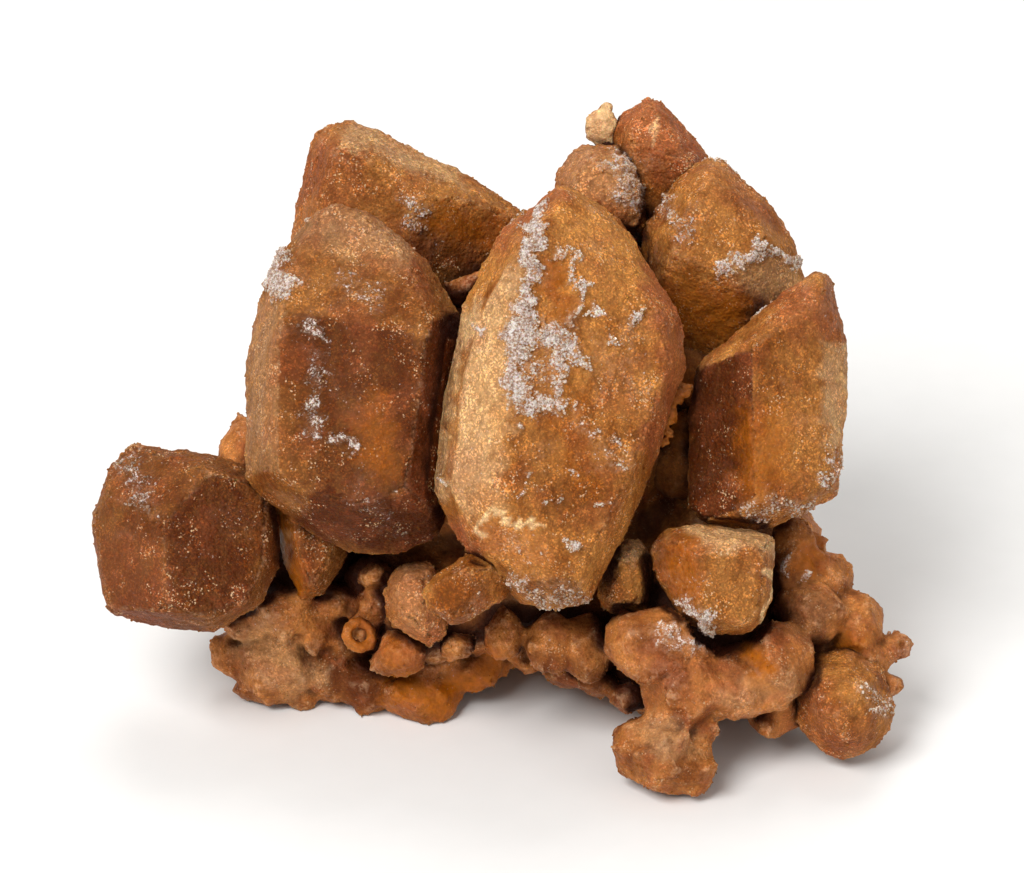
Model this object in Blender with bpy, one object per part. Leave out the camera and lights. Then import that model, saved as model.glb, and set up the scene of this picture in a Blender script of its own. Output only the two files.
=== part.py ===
"""Hopeite specimen: stout honey-brown crystals grown together over a knobbly crust.

The whole cluster grew as one piece, so it is one solid. Each crystal is a convex body bounded by flat
faces, the crust is made of small blunt crystals over a core, and all of them are joined by a Boolean
union. The underside is cut off flat where the specimen came off its rock.
"""

import math
import random
from dataclasses import dataclass

import bmesh
import bpy
from mathutils import Matrix, Vector

MM = 0.001

# The showing side is described as the eye sees it from EYE_DISTANCE, looking down by EYE_ELEVATION:
# across to the right, up, and out toward the eye, in millimetres at the middle of the view.
EYE_ELEVATION = math.radians(30.0)
EYE_DISTANCE = 284.0
VIEW_MIDDLE_HEIGHT = 14.1

# The middle of the bounding box, across and back from the middle of the view.
MIDDLE_ACROSS = -0.4
MIDDLE_BACK = 0.95

BLOCK_SIZE = 90.0
CORNER_MERGE = 0.02
GOLDEN_TURN = 137.508
CLUSTER_COLOUR = (0.36, 0.15, 0.045, 1.0)
CLUSTER_ROUGHNESS = 0.55


@dataclass(frozen=True)
class Crystal:
    """A convex crystal: its outline is (across, up) corners, counter-clockwise, at the depth out.

    Each facet is (across, up, out from the middle, turn, lean). Turn is the way it faces in the
    view's plane, from the right, and lean is how far it turns from the eye: 0 faces the eye, 90
    is edge-on and 180 faces away.
    """

    out: float
    outline: tuple
    facets: tuple
    front_lean: float = 68.0
    back_lean: float = 115.0
    back_depth: float = 4.5


CRYSTALS = {
    "front": Crystal(
        out=5.0,
        outline=(
            (2.25, -8.8), (4.0, -8.2), (5.7, -4.7), (7.25, -1.0), (8.75, 3.5),
            (8.35, 6.2), (6.1, 9.9), (4.6, 11.6), (2.4, 12.8), (-0.7, 10.2),
            (-2.45, 6.6), (-3.5, 2.0), (-3.95, -2.7), (-2.45, -5.7), (0.4, -8.3),
        ),
        facets=(
            (0.2, 4.6, 4.6, 172, 38), (0.2, 4.6, 4.6, -10, 14), (6.4, 6.8, 3.2, 45, 45),
            (0.6, -4.4, 4.1, 236, 33), (-1.6, -4.6, 3.1, 205, 52), (2.0, -7.3, 3.0, 265, 60),
            (4.6, -5.0, 3.2, -35, 42), (2.5, 2.0, -4.5, 150, 160), (2.5, 2.0, -4.5, -30, 155),
        ),
        front_lean=72.0,
        back_lean=118.0,
    ),
    "left": Crystal(
        out=2.5,
        outline=(
            (-5.6, -6.0), (-3.6, -5.0), (-2.5, -2.5), (-2.2, 4.5), (-2.6, 6.3),
            (-4.3, 8.95), (-5.95, 10.4), (-7.15, 11.3), (-8.8, 11.75), (-9.8, 11.3),
            (-11.75, 9.1), (-12.6, 6.9), (-13.35, 3.6), (-13.4, -2.1), (-12.5, -3.0),
            (-10.2, -4.8), (-8.0, -5.9),
        ),
        facets=(
            (-8.0, 2.0, 4.0, 180, 5), (-4.6, 2.5, 4.3, -8, 55), (-11.7, 3.5, 3.7, 180, 52),
            (-8.5, 5.6, 4.0, 88, 30), (-9.8, -3.2, 3.5, 250, 50), (-6.5, -3.2, 3.9, 285, 55),
            (-8.0, 3.0, -5.0, 120, 158), (-8.0, 3.0, -5.0, -60, 155),
        ),
    ),
    "back_left": Crystal(
        out=-4.5,
        outline=(
            (0.5, 4.0), (1.3, 9.8), (1.0, 10.9), (-1.6, 12.8), (-6.3, 15.2),
            (-8.35, 15.85), (-8.9, 15.8), (-9.7, 15.3), (-10.1, 14.6), (-10.85, 11.6),
            (-11.0, 9.5), (-9.5, 5.5), (-5.0, 3.0),
        ),
        facets=(
            (-5.0, 11.0, 3.6, 200, 12), (-4.6, 11.0, 3.6, -35, 32), (-6.0, 13.4, 3.2, 63, 48),
            (-5.0, 9.5, -4.2, 215, 158), (-5.0, 9.5, -4.2, 35, 150),
        ),
        front_lean=66.0,
    ),
    "upper_right": Crystal(
        out=-1.5,
        outline=(
            (9.5, 3.0), (13.8, 3.5), (14.9, 7.0), (14.15, 9.7), (12.95, 11.6),
            (11.05, 13.35), (10.05, 13.9), (9.0, 13.6), (8.0, 12.8), (6.5, 10.2),
            (6.0, 6.0), (7.0, 3.5),
        ),
        facets=(
            (10.3, 9.5, 3.6, 60, 18), (9.5, 8.0, 3.6, 250, 42), (12.6, 8.6, 2.8, -20, 38),
            (10.5, 8.5, -4.8, 150, 150), (10.5, 8.5, -4.8, 0, 150),
        ),
        back_depth=5.5,
    ),
    "right": Crystal(
        out=3.0,
        outline=(
            (13.25, -4.6), (15.0, -3.7), (16.3, -2.9), (16.8, 1.6), (16.6, 5.0),
            (16.05, 7.6), (15.6, 8.4), (14.9, 8.2), (13.15, 6.9), (10.6, 4.75),
            (9.3, 3.6), (8.7, 1.0), (8.7, -3.6), (9.6, -4.4), (11.9, -4.7),
        ),
        facets=(
            (12.0, 1.5, 3.5, 0, 18), (12.0, 1.5, 3.5, 182, 48), (15.4, 2.0, 2.4, 0, 55),
            (13.5, 5.6, 3.0, 112, 45), (13.2, -3.2, 3.1, 275, 60), (11.5, -3.2, 3.2, 250, 55),
            (13.0, 1.0, -4.0, 200, 155), (13.0, 1.0, -4.0, 20, 150),
        ),
        front_lean=74.0,
    ),
    "top_rear": Crystal(
        out=-4.0,
        outline=(
            (9.9, 12.4), (9.95, 14.0), (8.75, 15.5), (8.15, 16.3), (7.5, 16.75),
            (6.9, 17.1), (6.3, 16.7), (5.1, 16.0), (4.7, 15.0), (5.0, 11.0), (7.5, 9.5),
        ),
        facets=(
            (7.0, 14.4, 3.0, 72, 32), (7.0, 14.4, 3.0, 252, 22),
            (7.3, 13.5, -3.4, 140, 150), (7.3, 13.5, -3.4, -10, 145),
        ),
    ),
    "top_left_lobe": Crystal(
        out=-3.0,
        outline=(
            (4.4, 9.6), (7.0, 9.8), (7.0, 13.2), (5.6, 14.6), (4.0, 14.75),
            (3.0, 14.3), (2.2, 13.35), (2.0, 12.6), (2.3, 11.0),
        ),
        facets=(
            (4.6, 12.2, 3.0, 120, 14), (5.2, 12.0, 2.9, -40, 30), (4.4, 12.2, -3.0, 170, 150),
        ),
    ),
    "left_block": Crystal(
        out=0.0,
        outline=(
            (-14.9, -9.85), (-12.6, -8.6), (-11.6, -6.5), (-11.6, -3.0), (-12.4, -1.7),
            (-14.9, -0.95), (-19.0, -0.25), (-19.35, -0.35), (-20.1, -1.5), (-21.0, -4.2),
            (-20.85, -5.7), (-20.5, -8.2), (-20.2, -8.9), (-18.65, -9.35),
        ),
        facets=(
            (-17.4, -5.5, 4.0, 10, 18), (-17.4, -5.5, 4.0, 182, 40), (-18.2, -4.0, 3.4, 120, 42),
            (-17.0, -5.0, -4.2, 160, 160), (-17.0, -5.0, -4.2, -20, 150),
        ),
        front_lean=76.0,
        back_lean=112.0,
    ),
    "brown_wedge": Crystal(
        out=-1.0,
        outline=(
            (-11.0, -8.4), (-9.3, -8.0), (-8.2, -6.2), (-8.0, -3.5), (-10.0, -1.5),
            (-12.7, -2.7), (-12.6, -4.2), (-11.4, -6.6),
        ),
        facets=((-11.4, -4.8, 2.6, 195, 45), (-11.3, -4.8, 2.6, 0, 22)),
    ),
    "lower_block": Crystal(
        out=4.0,
        outline=(
            (9.65, -9.9), (11.65, -9.8), (12.35, -9.5), (13.05, -8.1), (13.2, -5.0),
            (11.9, -4.6), (9.2, -4.3), (7.85, -4.6), (6.9, -5.4), (7.0, -6.8), (8.3, -9.0),
        ),
        facets=(
            (9.1, -5.6, 3.2, -20, 14), (9.1, -5.6, 3.2, 188, 55), (9.0, -8.6, 2.8, 222, 50),
            (11.0, -5.5, 2.9, 95, 50),
        ),
        front_lean=74.0,
    ),
    "near_left_small": Crystal(
        out=5.3,
        outline=(
            (-3.05, -9.55), (-1.85, -9.2), (-0.3, -8.1), (0.3, -7.0), (-0.8, -5.9),
            (-2.3, -5.75), (-3.75, -6.7), (-4.65, -7.8), (-4.15, -8.65),
        ),
        facets=((-2.1, -7.0, 1.9, 190, 30), (-2.0, -7.0, 1.9, -40, 42)),
    ),
    "near_right_small": Crystal(
        out=2.3,
        outline=(
            (4.6, -8.9), (6.85, -8.9), (7.1, -8.2), (7.15, -6.4), (6.9, -5.7),
            (6.4, -5.05), (5.6, -4.9), (4.6, -5.5), (4.1, -8.1),
        ),
        facets=((5.8, -7.0, 1.8, -70, 12), (6.3, -6.8, 1.6, 0, 45), (6.0, -6.0, 1.7, 80, 45)),
    ),
    "pink_prism": Crystal(
        out=0.5,
        outline=(
            (-4.05, -10.65), (-3.0, -9.7), (-3.6, -6.6), (-4.1, -6.2), (-5.45, -6.3),
            (-6.45, -7.5), (-6.2, -9.3),
        ),
        facets=((-4.9, -8.2, 1.8, 150, 15), (-4.3, -8.4, 1.8, -25, 40)),
    ),
    "right_foot": Crystal(
        out=0.8,
        outline=(
            (16.3, -16.25), (17.4, -16.0), (18.3, -15.45), (18.95, -14.7), (19.1, -13.3),
            (18.6, -11.5), (17.0, -10.5), (14.8, -10.8), (13.8, -12.5), (14.0, -14.3),
            (15.2, -15.6),
        ),
        facets=((16.6, -13.2, 3.0, 120, 20), (17.0, -13.4, 3.0, -45, 35)),
        front_lean=62.0,
        back_depth=3.0,
    ),
    # Crystals of the far side, which the showing side hides
    "rear_left": Crystal(
        out=-10.0,
        outline=(
            (-5.5, -5.0), (-2.5, -4.2), (-1.2, -1.5), (-1.0, 2.5), (-2.5, 4.6),
            (-5.5, 5.2), (-8.0, 4.4), (-9.2, 1.5), (-9.0, -2.0), (-7.8, -4.2),
        ),
        facets=((-5.2, 0.0, -4.4, 35, 150), (-5.2, 0.0, -4.4, 175, 148), (-5.2, 2.6, -3.9, 95, 128)),
    ),
    "rear_right": Crystal(
        out=-9.0,
        outline=(
            (5.0, -4.6), (8.6, -3.6), (9.9, -0.5), (9.4, 3.4), (7.0, 5.6),
            (4.0, 5.4), (2.0, 3.6), (1.4, 0.0), (2.4, -3.4),
        ),
        facets=((5.6, 0.4, -4.2, 60, 146), (5.6, 0.4, -4.2, 190, 154), (6.0, -2.0, -3.8, -60, 140)),
    ),
    "far_right": Crystal(
        out=-5.0,
        outline=(
            (10.5, -5.2), (13.5, -4.9), (15.2, -2.4), (15.4, 1.6), (13.8, 4.0),
            (10.8, 4.4), (8.8, 2.3), (8.5, -2.5),
        ),
        facets=((12.2, -0.5, -4.0, 45, 140), (12.2, -0.5, -4.0, 180, 156), (12.2, -2.6, -3.6, -80, 140)),
    ),
    "far_left": Crystal(
        out=-6.0,
        outline=(
            (-10.5, -5.0), (-7.5, -4.6), (-6.0, -1.5), (-6.5, 2.8), (-9.0, 4.5),
            (-11.5, 4.0), (-12.9, 1.0), (-12.7, -2.5),
        ),
        facets=((-9.8, 0.0, -4.0, 140, 142), (-9.8, 0.0, -4.0, 10, 158), (-9.8, -2.4, -3.6, -100, 140)),
    ),
}

# Small blunt crystals and nodules of the crust that show from the front: (across, up, out, half
# width, half height, half depth, roll in degrees).
FRONT_LUMPS = (
    # Pale knob at the top, and the lumps behind the gap under the rear crystals
    (4.5, 15.5, -3.6, 0.85, 0.85, 0.8, 0), (4.7, 16.3, -3.6, 0.4, 0.42, 0.4, 0),
    (-2.2, 7.4, 0.2, 1.3, 0.55, 1.2, 40), (3.4, 9.0, -1.5, 3.0, 2.6, 2.5, 0),
    # Spurs on the right edge of the front crystal
    (8.45, 2.2, 4.5, 0.55, 0.3, 0.4, 0), (7.8, 1.1, 4.6, 0.45, 0.6, 0.45, 0),
    # Left shoulder behind the left block
    (-12.8, -1.4, -1.8, 2.05, 2.1, 2.0, 0), (-11.6, -8.6, -2.2, 1.6, 1.3, 1.6, 20),
    (-13.3, -9.3, -2.9, 1.3, 0.9, 1.3, 0),
    # Lower left of the crust
    (-13.9, -10.8, -4.6, 1.25, 1.2, 1.3, 0), (-11.9, -11.3, -4.3, 2.2, 2.0, 2.0, -8),
    (-9.1, -11.6, -4.4, 1.4, 1.7, 1.6, 5), (-12.3, -12.5, -4.4, 1.0, 0.7, 1.0, 0),
    (-10.5, -13.0, -4.4, 0.75, 0.8, 0.8, 0), (-7.4, -12.4, -4.2, 1.9, 1.1, 1.5, -5),
    (-7.45, -13.8, -4.0, 0.42, 0.5, 0.45, 0), (-4.6, -12.95, -3.7, 2.2, 1.3, 1.6, -4),
    (-1.7, -11.5, -4.2, 1.9, 0.85, 1.5, 26), (-0.2, -10.8, -5.0, 1.3, 0.75, 1.3, 20),
    # Nodules between the left crystals and the front one
    (-7.55, -9.8, -1.6, 0.95, 0.95, 0.9, 0), (-5.5, -10.9, -0.6, 1.2, 1.15, 1.2, 0),
    (-6.4, -11.3, -1.0, 0.7, 0.75, 0.7, 0), (-6.8, -6.9, -0.8, 0.9, 0.65, 0.9, 10),
    (-9.9, -9.6, -3.6, 1.5, 1.1, 1.5, 0), (-8.8, -8.2, -2.6, 1.1, 0.9, 1.2, 0),
    (-6.8, -8.4, -1.8, 1.0, 1.0, 1.2, 0), (-2.7, -10.5, -0.4, 0.9, 0.7, 1.0, 0),
    (-0.4, -9.9, 0.4, 0.85, 1.5, 1.1, -6), (2.0, -10.3, 0.8, 1.1, 1.7, 1.3, 5),
    (3.8, -10.6, 1.2, 1.3, 1.8, 1.4, 0), (1.0, -10.6, -2.4, 1.3, 1.2, 1.3, 0),
    (2.7, -11.8, -1.2, 1.3, 0.6, 1.2, 0), (4.4, -12.3, -0.4, 1.0, 0.7, 1.1, 0),
    (5.8, -13.1, 0.4, 0.9, 0.75, 1.0, 0),
    # Knobbly mass under the lower block, the hanging knob and its neck
    (6.9, -10.4, 3.8, 2.5, 1.65, 1.8, -8), (8.9, -12.5, 2.9, 2.5, 2.0, 2.0, 0),
    (11.0, -12.3, 2.6, 2.0, 1.7, 1.9, 10), (13.2, -11.4, 2.4, 1.9, 2.1, 2.0, 0),
    (8.4, -14.0, 2.8, 1.7, 1.4, 1.6, 0), (7.6, -15.8, 2.9, 2.4, 1.85, 2.1, 0),
    (6.3, -15.2, 2.9, 1.3, 1.2, 1.4, 0), (8.7, -16.6, 2.9, 1.4, 1.35, 1.4, 0),
    (12.9, -13.5, 0.4, 1.4, 1.5, 1.5, 20),
    # Right shoulder of the crust
    (14.05, -5.6, -0.6, 1.1, 1.85, 1.4, 0), (15.6, -7.0, -1.0, 1.5, 1.2, 1.4, -25),
    (14.9, -8.8, 0.8, 1.75, 1.55, 1.6, 0), (17.1, -9.45, -0.6, 1.55, 1.7, 1.7, -10),
    (17.6, -10.9, -0.4, 1.5, 0.9, 1.4, 0),
    (19.2, -10.5, -0.6, 1.0, 0.6, 0.6, -4), (18.6, -12.4, -0.4, 1.0, 0.6, 0.9, 0),
    (14.0, -7.2, -0.4, 1.2, 1.6, 1.4, 0), (14.9, -10.5, -0.6, 1.5, 1.0, 1.3, 0),
)

# The core that carries the crystals: the middle of each lump of it, as (across, back, height) from
# the ground under the middle of the view, and its half sizes.
CORES = (
    ((-3.4, 5.0, 4.4), (10.2, 6.2, 6.4)),
    ((8.6, 3.8, 5.0), (7.5, 6.4, 6.6)),
    ((9.1, -2.5, 4.2), (6.5, 4.5, 4.4)),
    ((3.1, 5.6, 5.0), (6.0, 5.6, 6.2)),
    ((-1.9, -1.2, 5.8), (7.5, 3.6, 3.0)),
    ((0.1, 3.5, 12.5), (10.0, 6.0, 8.0)),
)
CORE_FACES = 30

# Small crystals of the crust on the far side, in rings that radiate from inside the core: each ring
# is (height, half width across, half width back, number of crystals).
FAR_RINGS = (
    (1.6, 12.8, 6.6, 17),
    (4.6, 13.0, 6.9, 15),
    (8.0, 12.2, 6.6, 12),
    (12.5, 10.2, 5.6, 9),
    (17.0, 7.0, 4.4, 5),
    (19.4, 4.2, 2.2, 5),
)
FAR_MIDDLE = (0.5, 4.2)
FAR_FIRST_TURN = -12.0
FAR_LAST_TURN = 192.0
FAR_SMALLEST = 0.9
FAR_LARGEST = 1.7
FAR_LENGTH = 1.5
FAR_FACES = 12
FAR_SEED = 7


def view_axes():
    """The view's across, up and out directions, as columns."""
    sine, cosine = math.sin(EYE_ELEVATION), math.cos(EYE_ELEVATION)
    return Matrix(((1.0, 0.0, 0.0), (0.0, sine, -cosine), (0.0, cosine, sine)))


def centred(across, back, height):
    """The point of the specimen's own frame that is this far from the ground under the view's middle."""
    return Vector((across - MIDDLE_ACROSS, back - MIDDLE_BACK, height))


def in_place(across, up, out):
    """The point that the eye sees at (across, up), at the depth out."""
    spread = 1.0 - out / EYE_DISTANCE
    middle = centred(0.0, 0.0, VIEW_MIDDLE_HEIGHT)
    return middle + view_axes() @ Vector((across * spread, up * spread, out))


def facing(turn, lean):
    """The direction that faces turn in the view's plane and leans away from the eye by lean."""
    turn, lean = math.radians(turn), math.radians(lean)
    level = math.sin(lean)
    way = Vector((level * math.cos(turn), level * math.sin(turn), math.cos(lean)))
    return view_axes() @ way


def middle_of(crystal):
    """The mean of a crystal's corners, across and up."""
    count = len(crystal.outline)
    across = sum(corner[0] for corner in crystal.outline) / count
    up = sum(corner[1] for corner in crystal.outline) / count
    return across, up


def crystal_planes(crystal):
    """The planes, each a point and the direction it faces, that bound a crystal."""
    planes = []
    for index, (across, up) in enumerate(crystal.outline):
        next_across, next_up = crystal.outline[(index + 1) % len(crystal.outline)]
        turn = math.degrees(math.atan2(across - next_across, next_up - up))
        corner = in_place(across, up, crystal.out)
        planes.append((corner, facing(turn, crystal.front_lean)))
        planes.append((corner, facing(turn, crystal.back_lean)))
    for across, up, out, turn, lean in crystal.facets:
        planes.append((in_place(across, up, crystal.out + out), facing(turn, lean)))
    back = in_place(*middle_of(crystal), crystal.out - crystal.back_depth)
    planes.append((back, facing(0.0, 180.0)))
    return planes


def lump_planes(middle, half_sizes, axes, seed, faces=15):
    """The planes of a blunt body that fills an ellipsoid, with its faces spread evenly round it."""
    rng = random.Random(seed)
    spin = rng.uniform(0.0, 360.0)
    planes = []
    for index in range(faces):
        rise = 1.0 - 2.0 * (index + 0.5) / faces
        level = math.sqrt(1.0 - rise * rise)
        angle = math.radians(spin + index * GOLDEN_TURN + rng.uniform(-16.0, 16.0))
        way = Vector((level * math.cos(angle), rise, level * math.sin(angle)))
        stretched = Vector(size * part for size, part in zip(half_sizes, way))
        way = axes @ way
        planes.append((middle + way * stretched.length * rng.uniform(0.86, 1.0), way))
    return planes


def solid_mesh(name, planes, middle):
    """A convex closed mesh: a block about the middle, cut by each plane and capped."""
    body = bmesh.new()
    bmesh.ops.create_cube(body, size=BLOCK_SIZE, matrix=Matrix.Translation(middle))
    for point, direction in planes:
        everything = body.verts[:] + body.edges[:] + body.faces[:]
        cut = bmesh.ops.bisect_plane(
            body, geom=everything, plane_co=point, plane_no=direction, clear_outer=True
        )
        rim = [item for item in cut["geom_cut"] if isinstance(item, bmesh.types.BMEdge)]
        if len(rim) >= 3:
            bmesh.ops.contextual_create(body, geom=rim)
    bmesh.ops.remove_doubles(body, verts=body.verts, dist=CORNER_MERGE)
    bmesh.ops.recalc_face_normals(body, faces=body.faces)
    bmesh.ops.scale(body, vec=(MM, MM, MM), verts=body.verts)
    mesh = bpy.data.meshes.new(name)
    body.to_mesh(mesh)
    body.free()
    return mesh


def add_helper(name, mesh, collection):
    """A solid that is only joined to the cluster or cut from it, kept out of renders."""
    helper = bpy.data.objects.new(name, mesh)
    helper.hide_render = True
    helper.display_type = "WIRE"
    collection.objects.link(helper)
    return helper


def add_crystals(members):
    for name, crystal in CRYSTALS.items():
        middle = in_place(*middle_of(crystal), crystal.out)
        add_helper(name, solid_mesh(name, crystal_planes(crystal), middle), members)


def add_front_lumps(members):
    for index, (across, up, out, *half_sizes, roll) in enumerate(FRONT_LUMPS):
        middle = in_place(across, up, out)
        axes = view_axes() @ Matrix.Rotation(math.radians(roll), 3, "Z")
        name = f"front_lump_{index}"
        planes = lump_planes(middle, half_sizes, axes, index)
        add_helper(name, solid_mesh(name, planes, middle), members)


def core_mesh(name, index):
    """One lump of the core."""
    place, half_sizes = CORES[index]
    middle = centred(*place)
    planes = lump_planes(middle, half_sizes, Matrix.Identity(3), index, CORE_FACES)
    return solid_mesh(name, planes, middle)


def add_cores(members):
    for index in range(1, len(CORES)):
        name = f"core_{index}"
        add_helper(name, core_mesh(name, index), members)


def add_far_crystals(members):
    """Small blunt crystals of the crust that point outward, round the sides and the far side."""
    rng = random.Random(FAR_SEED)
    for ring, (height, half_across, half_back, count) in enumerate(FAR_RINGS):
        for index in range(count):
            share = (index + rng.uniform(0.2, 0.8)) / count
            turn = math.radians(FAR_FIRST_TURN + (FAR_LAST_TURN - FAR_FIRST_TURN) * share)
            outward = Vector((math.cos(turn), math.sin(turn), rng.uniform(-0.3, 0.5)))
            middle = centred(*FAR_MIDDLE, height + rng.uniform(-1.2, 1.2))
            middle += Vector((half_across * math.cos(turn), half_back * math.sin(turn), 0.0))
            size = rng.uniform(FAR_SMALLEST, FAR_LARGEST)
            half_sizes = (size * rng.uniform(0.8, 1.1), size * FAR_LENGTH, size * rng.uniform(0.8, 1.1))
            axes = outward.to_track_quat("Y", "Z").to_matrix()
            name = f"far_crystal_{ring}_{index}"
            planes = lump_planes(middle, half_sizes, axes, 100 * ring + index, FAR_FACES)
            add_helper(name, solid_mesh(name, planes, middle), members)


def ground_mesh():
    """A block whose top is the level that the specimen is cut off at."""
    body = bmesh.new()
    level = Matrix.Translation((0.0, 0.0, -BLOCK_SIZE / 2.0))
    bmesh.ops.create_cube(body, size=BLOCK_SIZE, matrix=level)
    bmesh.ops.scale(body, vec=(MM, MM, MM), verts=body.verts)
    mesh = bpy.data.meshes.new("ground")
    body.to_mesh(mesh)
    body.free()
    return mesh


def cluster_material():
    material = bpy.data.materials.new("hopeite")
    material.use_nodes = True
    shader = material.node_tree.nodes["Principled BSDF"]
    shader.inputs["Base Color"].default_value = CLUSTER_COLOUR
    shader.inputs["Roughness"].default_value = CLUSTER_ROUGHNESS
    shader.inputs["Metallic"].default_value = 0.0
    material.diffuse_color = CLUSTER_COLOUR
    return material


def add_cluster(members, ground):
    """The one solid: the first core joined with every member, then cut off flat underneath."""
    cluster = bpy.data.objects.new("hopeite_cluster", core_mesh("hopeite_cluster", 0))
    bpy.context.scene.collection.objects.link(cluster)
    cluster.data.materials.append(cluster_material())
    join = cluster.modifiers.new("join", "BOOLEAN")
    join.operation = "UNION"
    join.operand_type = "COLLECTION"
    join.collection = members
    cut = cluster.modifiers.new("cut", "BOOLEAN")
    cut.operation = "DIFFERENCE"
    cut.object = ground


def clear_scene():
    for item in list(bpy.data.objects):
        bpy.data.objects.remove(item, do_unlink=True)


def build():
    clear_scene()
    members = bpy.data.collections.new("members")
    cutters = bpy.data.collections.new("cutters")
    bpy.context.scene.collection.children.link(members)
    bpy.context.scene.collection.children.link(cutters)
    add_cores(members)
    add_crystals(members)
    add_front_lumps(members)
    add_far_crystals(members)
    add_cluster(members, add_helper("ground", ground_mesh(), cutters))


build()
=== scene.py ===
"""The looks of a hopeite specimen: honey-brown crystals with a sugary skin over a rust-coloured crust.

Every shape is worked out in millimetres from the part's own tables, voxel remeshed, given its grown
surface by Geometry Nodes, and only then scaled to metres.
"""

import logging
import math
import random
from collections.abc import Iterable, Sequence
from dataclasses import dataclass, fields
from enum import Enum

import bmesh
import bpy
import numpy as np
from mathutils import Matrix, Vector


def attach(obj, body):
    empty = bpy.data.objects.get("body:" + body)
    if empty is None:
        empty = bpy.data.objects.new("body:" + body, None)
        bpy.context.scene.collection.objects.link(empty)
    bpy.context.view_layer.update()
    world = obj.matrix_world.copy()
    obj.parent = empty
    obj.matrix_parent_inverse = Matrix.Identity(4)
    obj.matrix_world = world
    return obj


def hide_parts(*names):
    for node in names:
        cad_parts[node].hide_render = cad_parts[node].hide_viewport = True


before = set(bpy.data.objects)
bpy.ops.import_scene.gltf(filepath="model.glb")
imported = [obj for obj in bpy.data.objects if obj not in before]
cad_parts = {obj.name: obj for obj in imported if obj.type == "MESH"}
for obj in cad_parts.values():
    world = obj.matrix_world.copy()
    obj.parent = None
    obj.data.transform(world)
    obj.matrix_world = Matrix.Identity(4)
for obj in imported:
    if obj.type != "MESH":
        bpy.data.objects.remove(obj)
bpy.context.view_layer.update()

LOG = logging.getLogger("hopeite")

MM = 0.001
NODE = "hopeite_cluster"

# The showing side is described as the eye sees it from EYE_DISTANCE, looking down by EYE_ELEVATION:
# across to the right, up, and out toward the eye, in millimetres at the middle of the view.
EYE_ELEVATION = math.radians(30.0)
EYE_DISTANCE = 284.0
VIEW_MIDDLE_HEIGHT = 14.1
MIDDLE_ACROSS = -0.4
MIDDLE_BACK = 0.95
LENS = 200.0
SENSOR_WIDTH = 36.0

BLOCK_SIZE = 90.0
CORNER_MERGE = 0.02
GOLDEN_TURN = 137.508

# How the edge of a stroke wanders: the reach, length and turn of each wave, in millimetres and degrees.
RUFFLES = (
    (0.26, 2.3, 23.0), (0.22, 1.7, 109.0), (0.15, 0.9, 63.0), (0.12, 0.63, 149.0),
    (0.08, 0.41, 12.0), (0.06, 0.31, 86.0),
)

Colour = tuple[float, float, float, float]
Planes = list[tuple[Vector, Vector]]


class Tone(Enum):
    """What a mark on a crystal is: each is a point attribute of the mesh."""

    POWDER = "powder"
    # Paler stone, and painted light on facets turned to the lamps.
    PALE = "pale"
    RUST = "rust"
    # Darker, thicker clear mineral, and painted shade in gaps, at feet and on facets turned from the lamps.
    DEEP = "deep"
    AMBER = "amber"


@dataclass(frozen=True)
class Mark:
    """A stroke of one tone on the showing side, through (across, up) points, with its half width.

    With a facet, given as its turn and lean, only what faces that way takes the tone.
    """

    tone: Tone
    points: tuple
    width: float
    strength: float = 1.0
    facet: tuple | None = None


class Link:
    """A node's output socket: arithmetic on it adds Math nodes to the same graph."""

    def __init__(self, graph: "Graph", socket: bpy.types.NodeSocket) -> None:
        """Wraps the socket.

        Args:
            graph: The graph that the socket is in.
            socket: The output socket.
        """
        self.graph = graph
        self.socket = socket

    def __add__(self, other: "Link | float") -> "Link":
        """The sum."""
        return self.graph.math("ADD", self, other)

    def __radd__(self, other: float) -> "Link":
        """The sum, with a number first."""
        return self.graph.math("ADD", other, self)

    def __sub__(self, other: "Link | float") -> "Link":
        """The difference."""
        return self.graph.math("SUBTRACT", self, other)

    def __rsub__(self, other: float) -> "Link":
        """The difference, with a number first."""
        return self.graph.math("SUBTRACT", other, self)

    def __mul__(self, other: "Link | float") -> "Link":
        """The product."""
        return self.graph.math("MULTIPLY", self, other)

    def __rmul__(self, other: float) -> "Link":
        """The product, with a number first."""
        return self.graph.math("MULTIPLY", other, self)

    def __truediv__(self, other: "Link | float") -> "Link":
        """The quotient."""
        return self.graph.math("DIVIDE", self, other)

    def __rtruediv__(self, other: float) -> "Link":
        """The quotient, with a number first."""
        return self.graph.math("DIVIDE", other, self)


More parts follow.
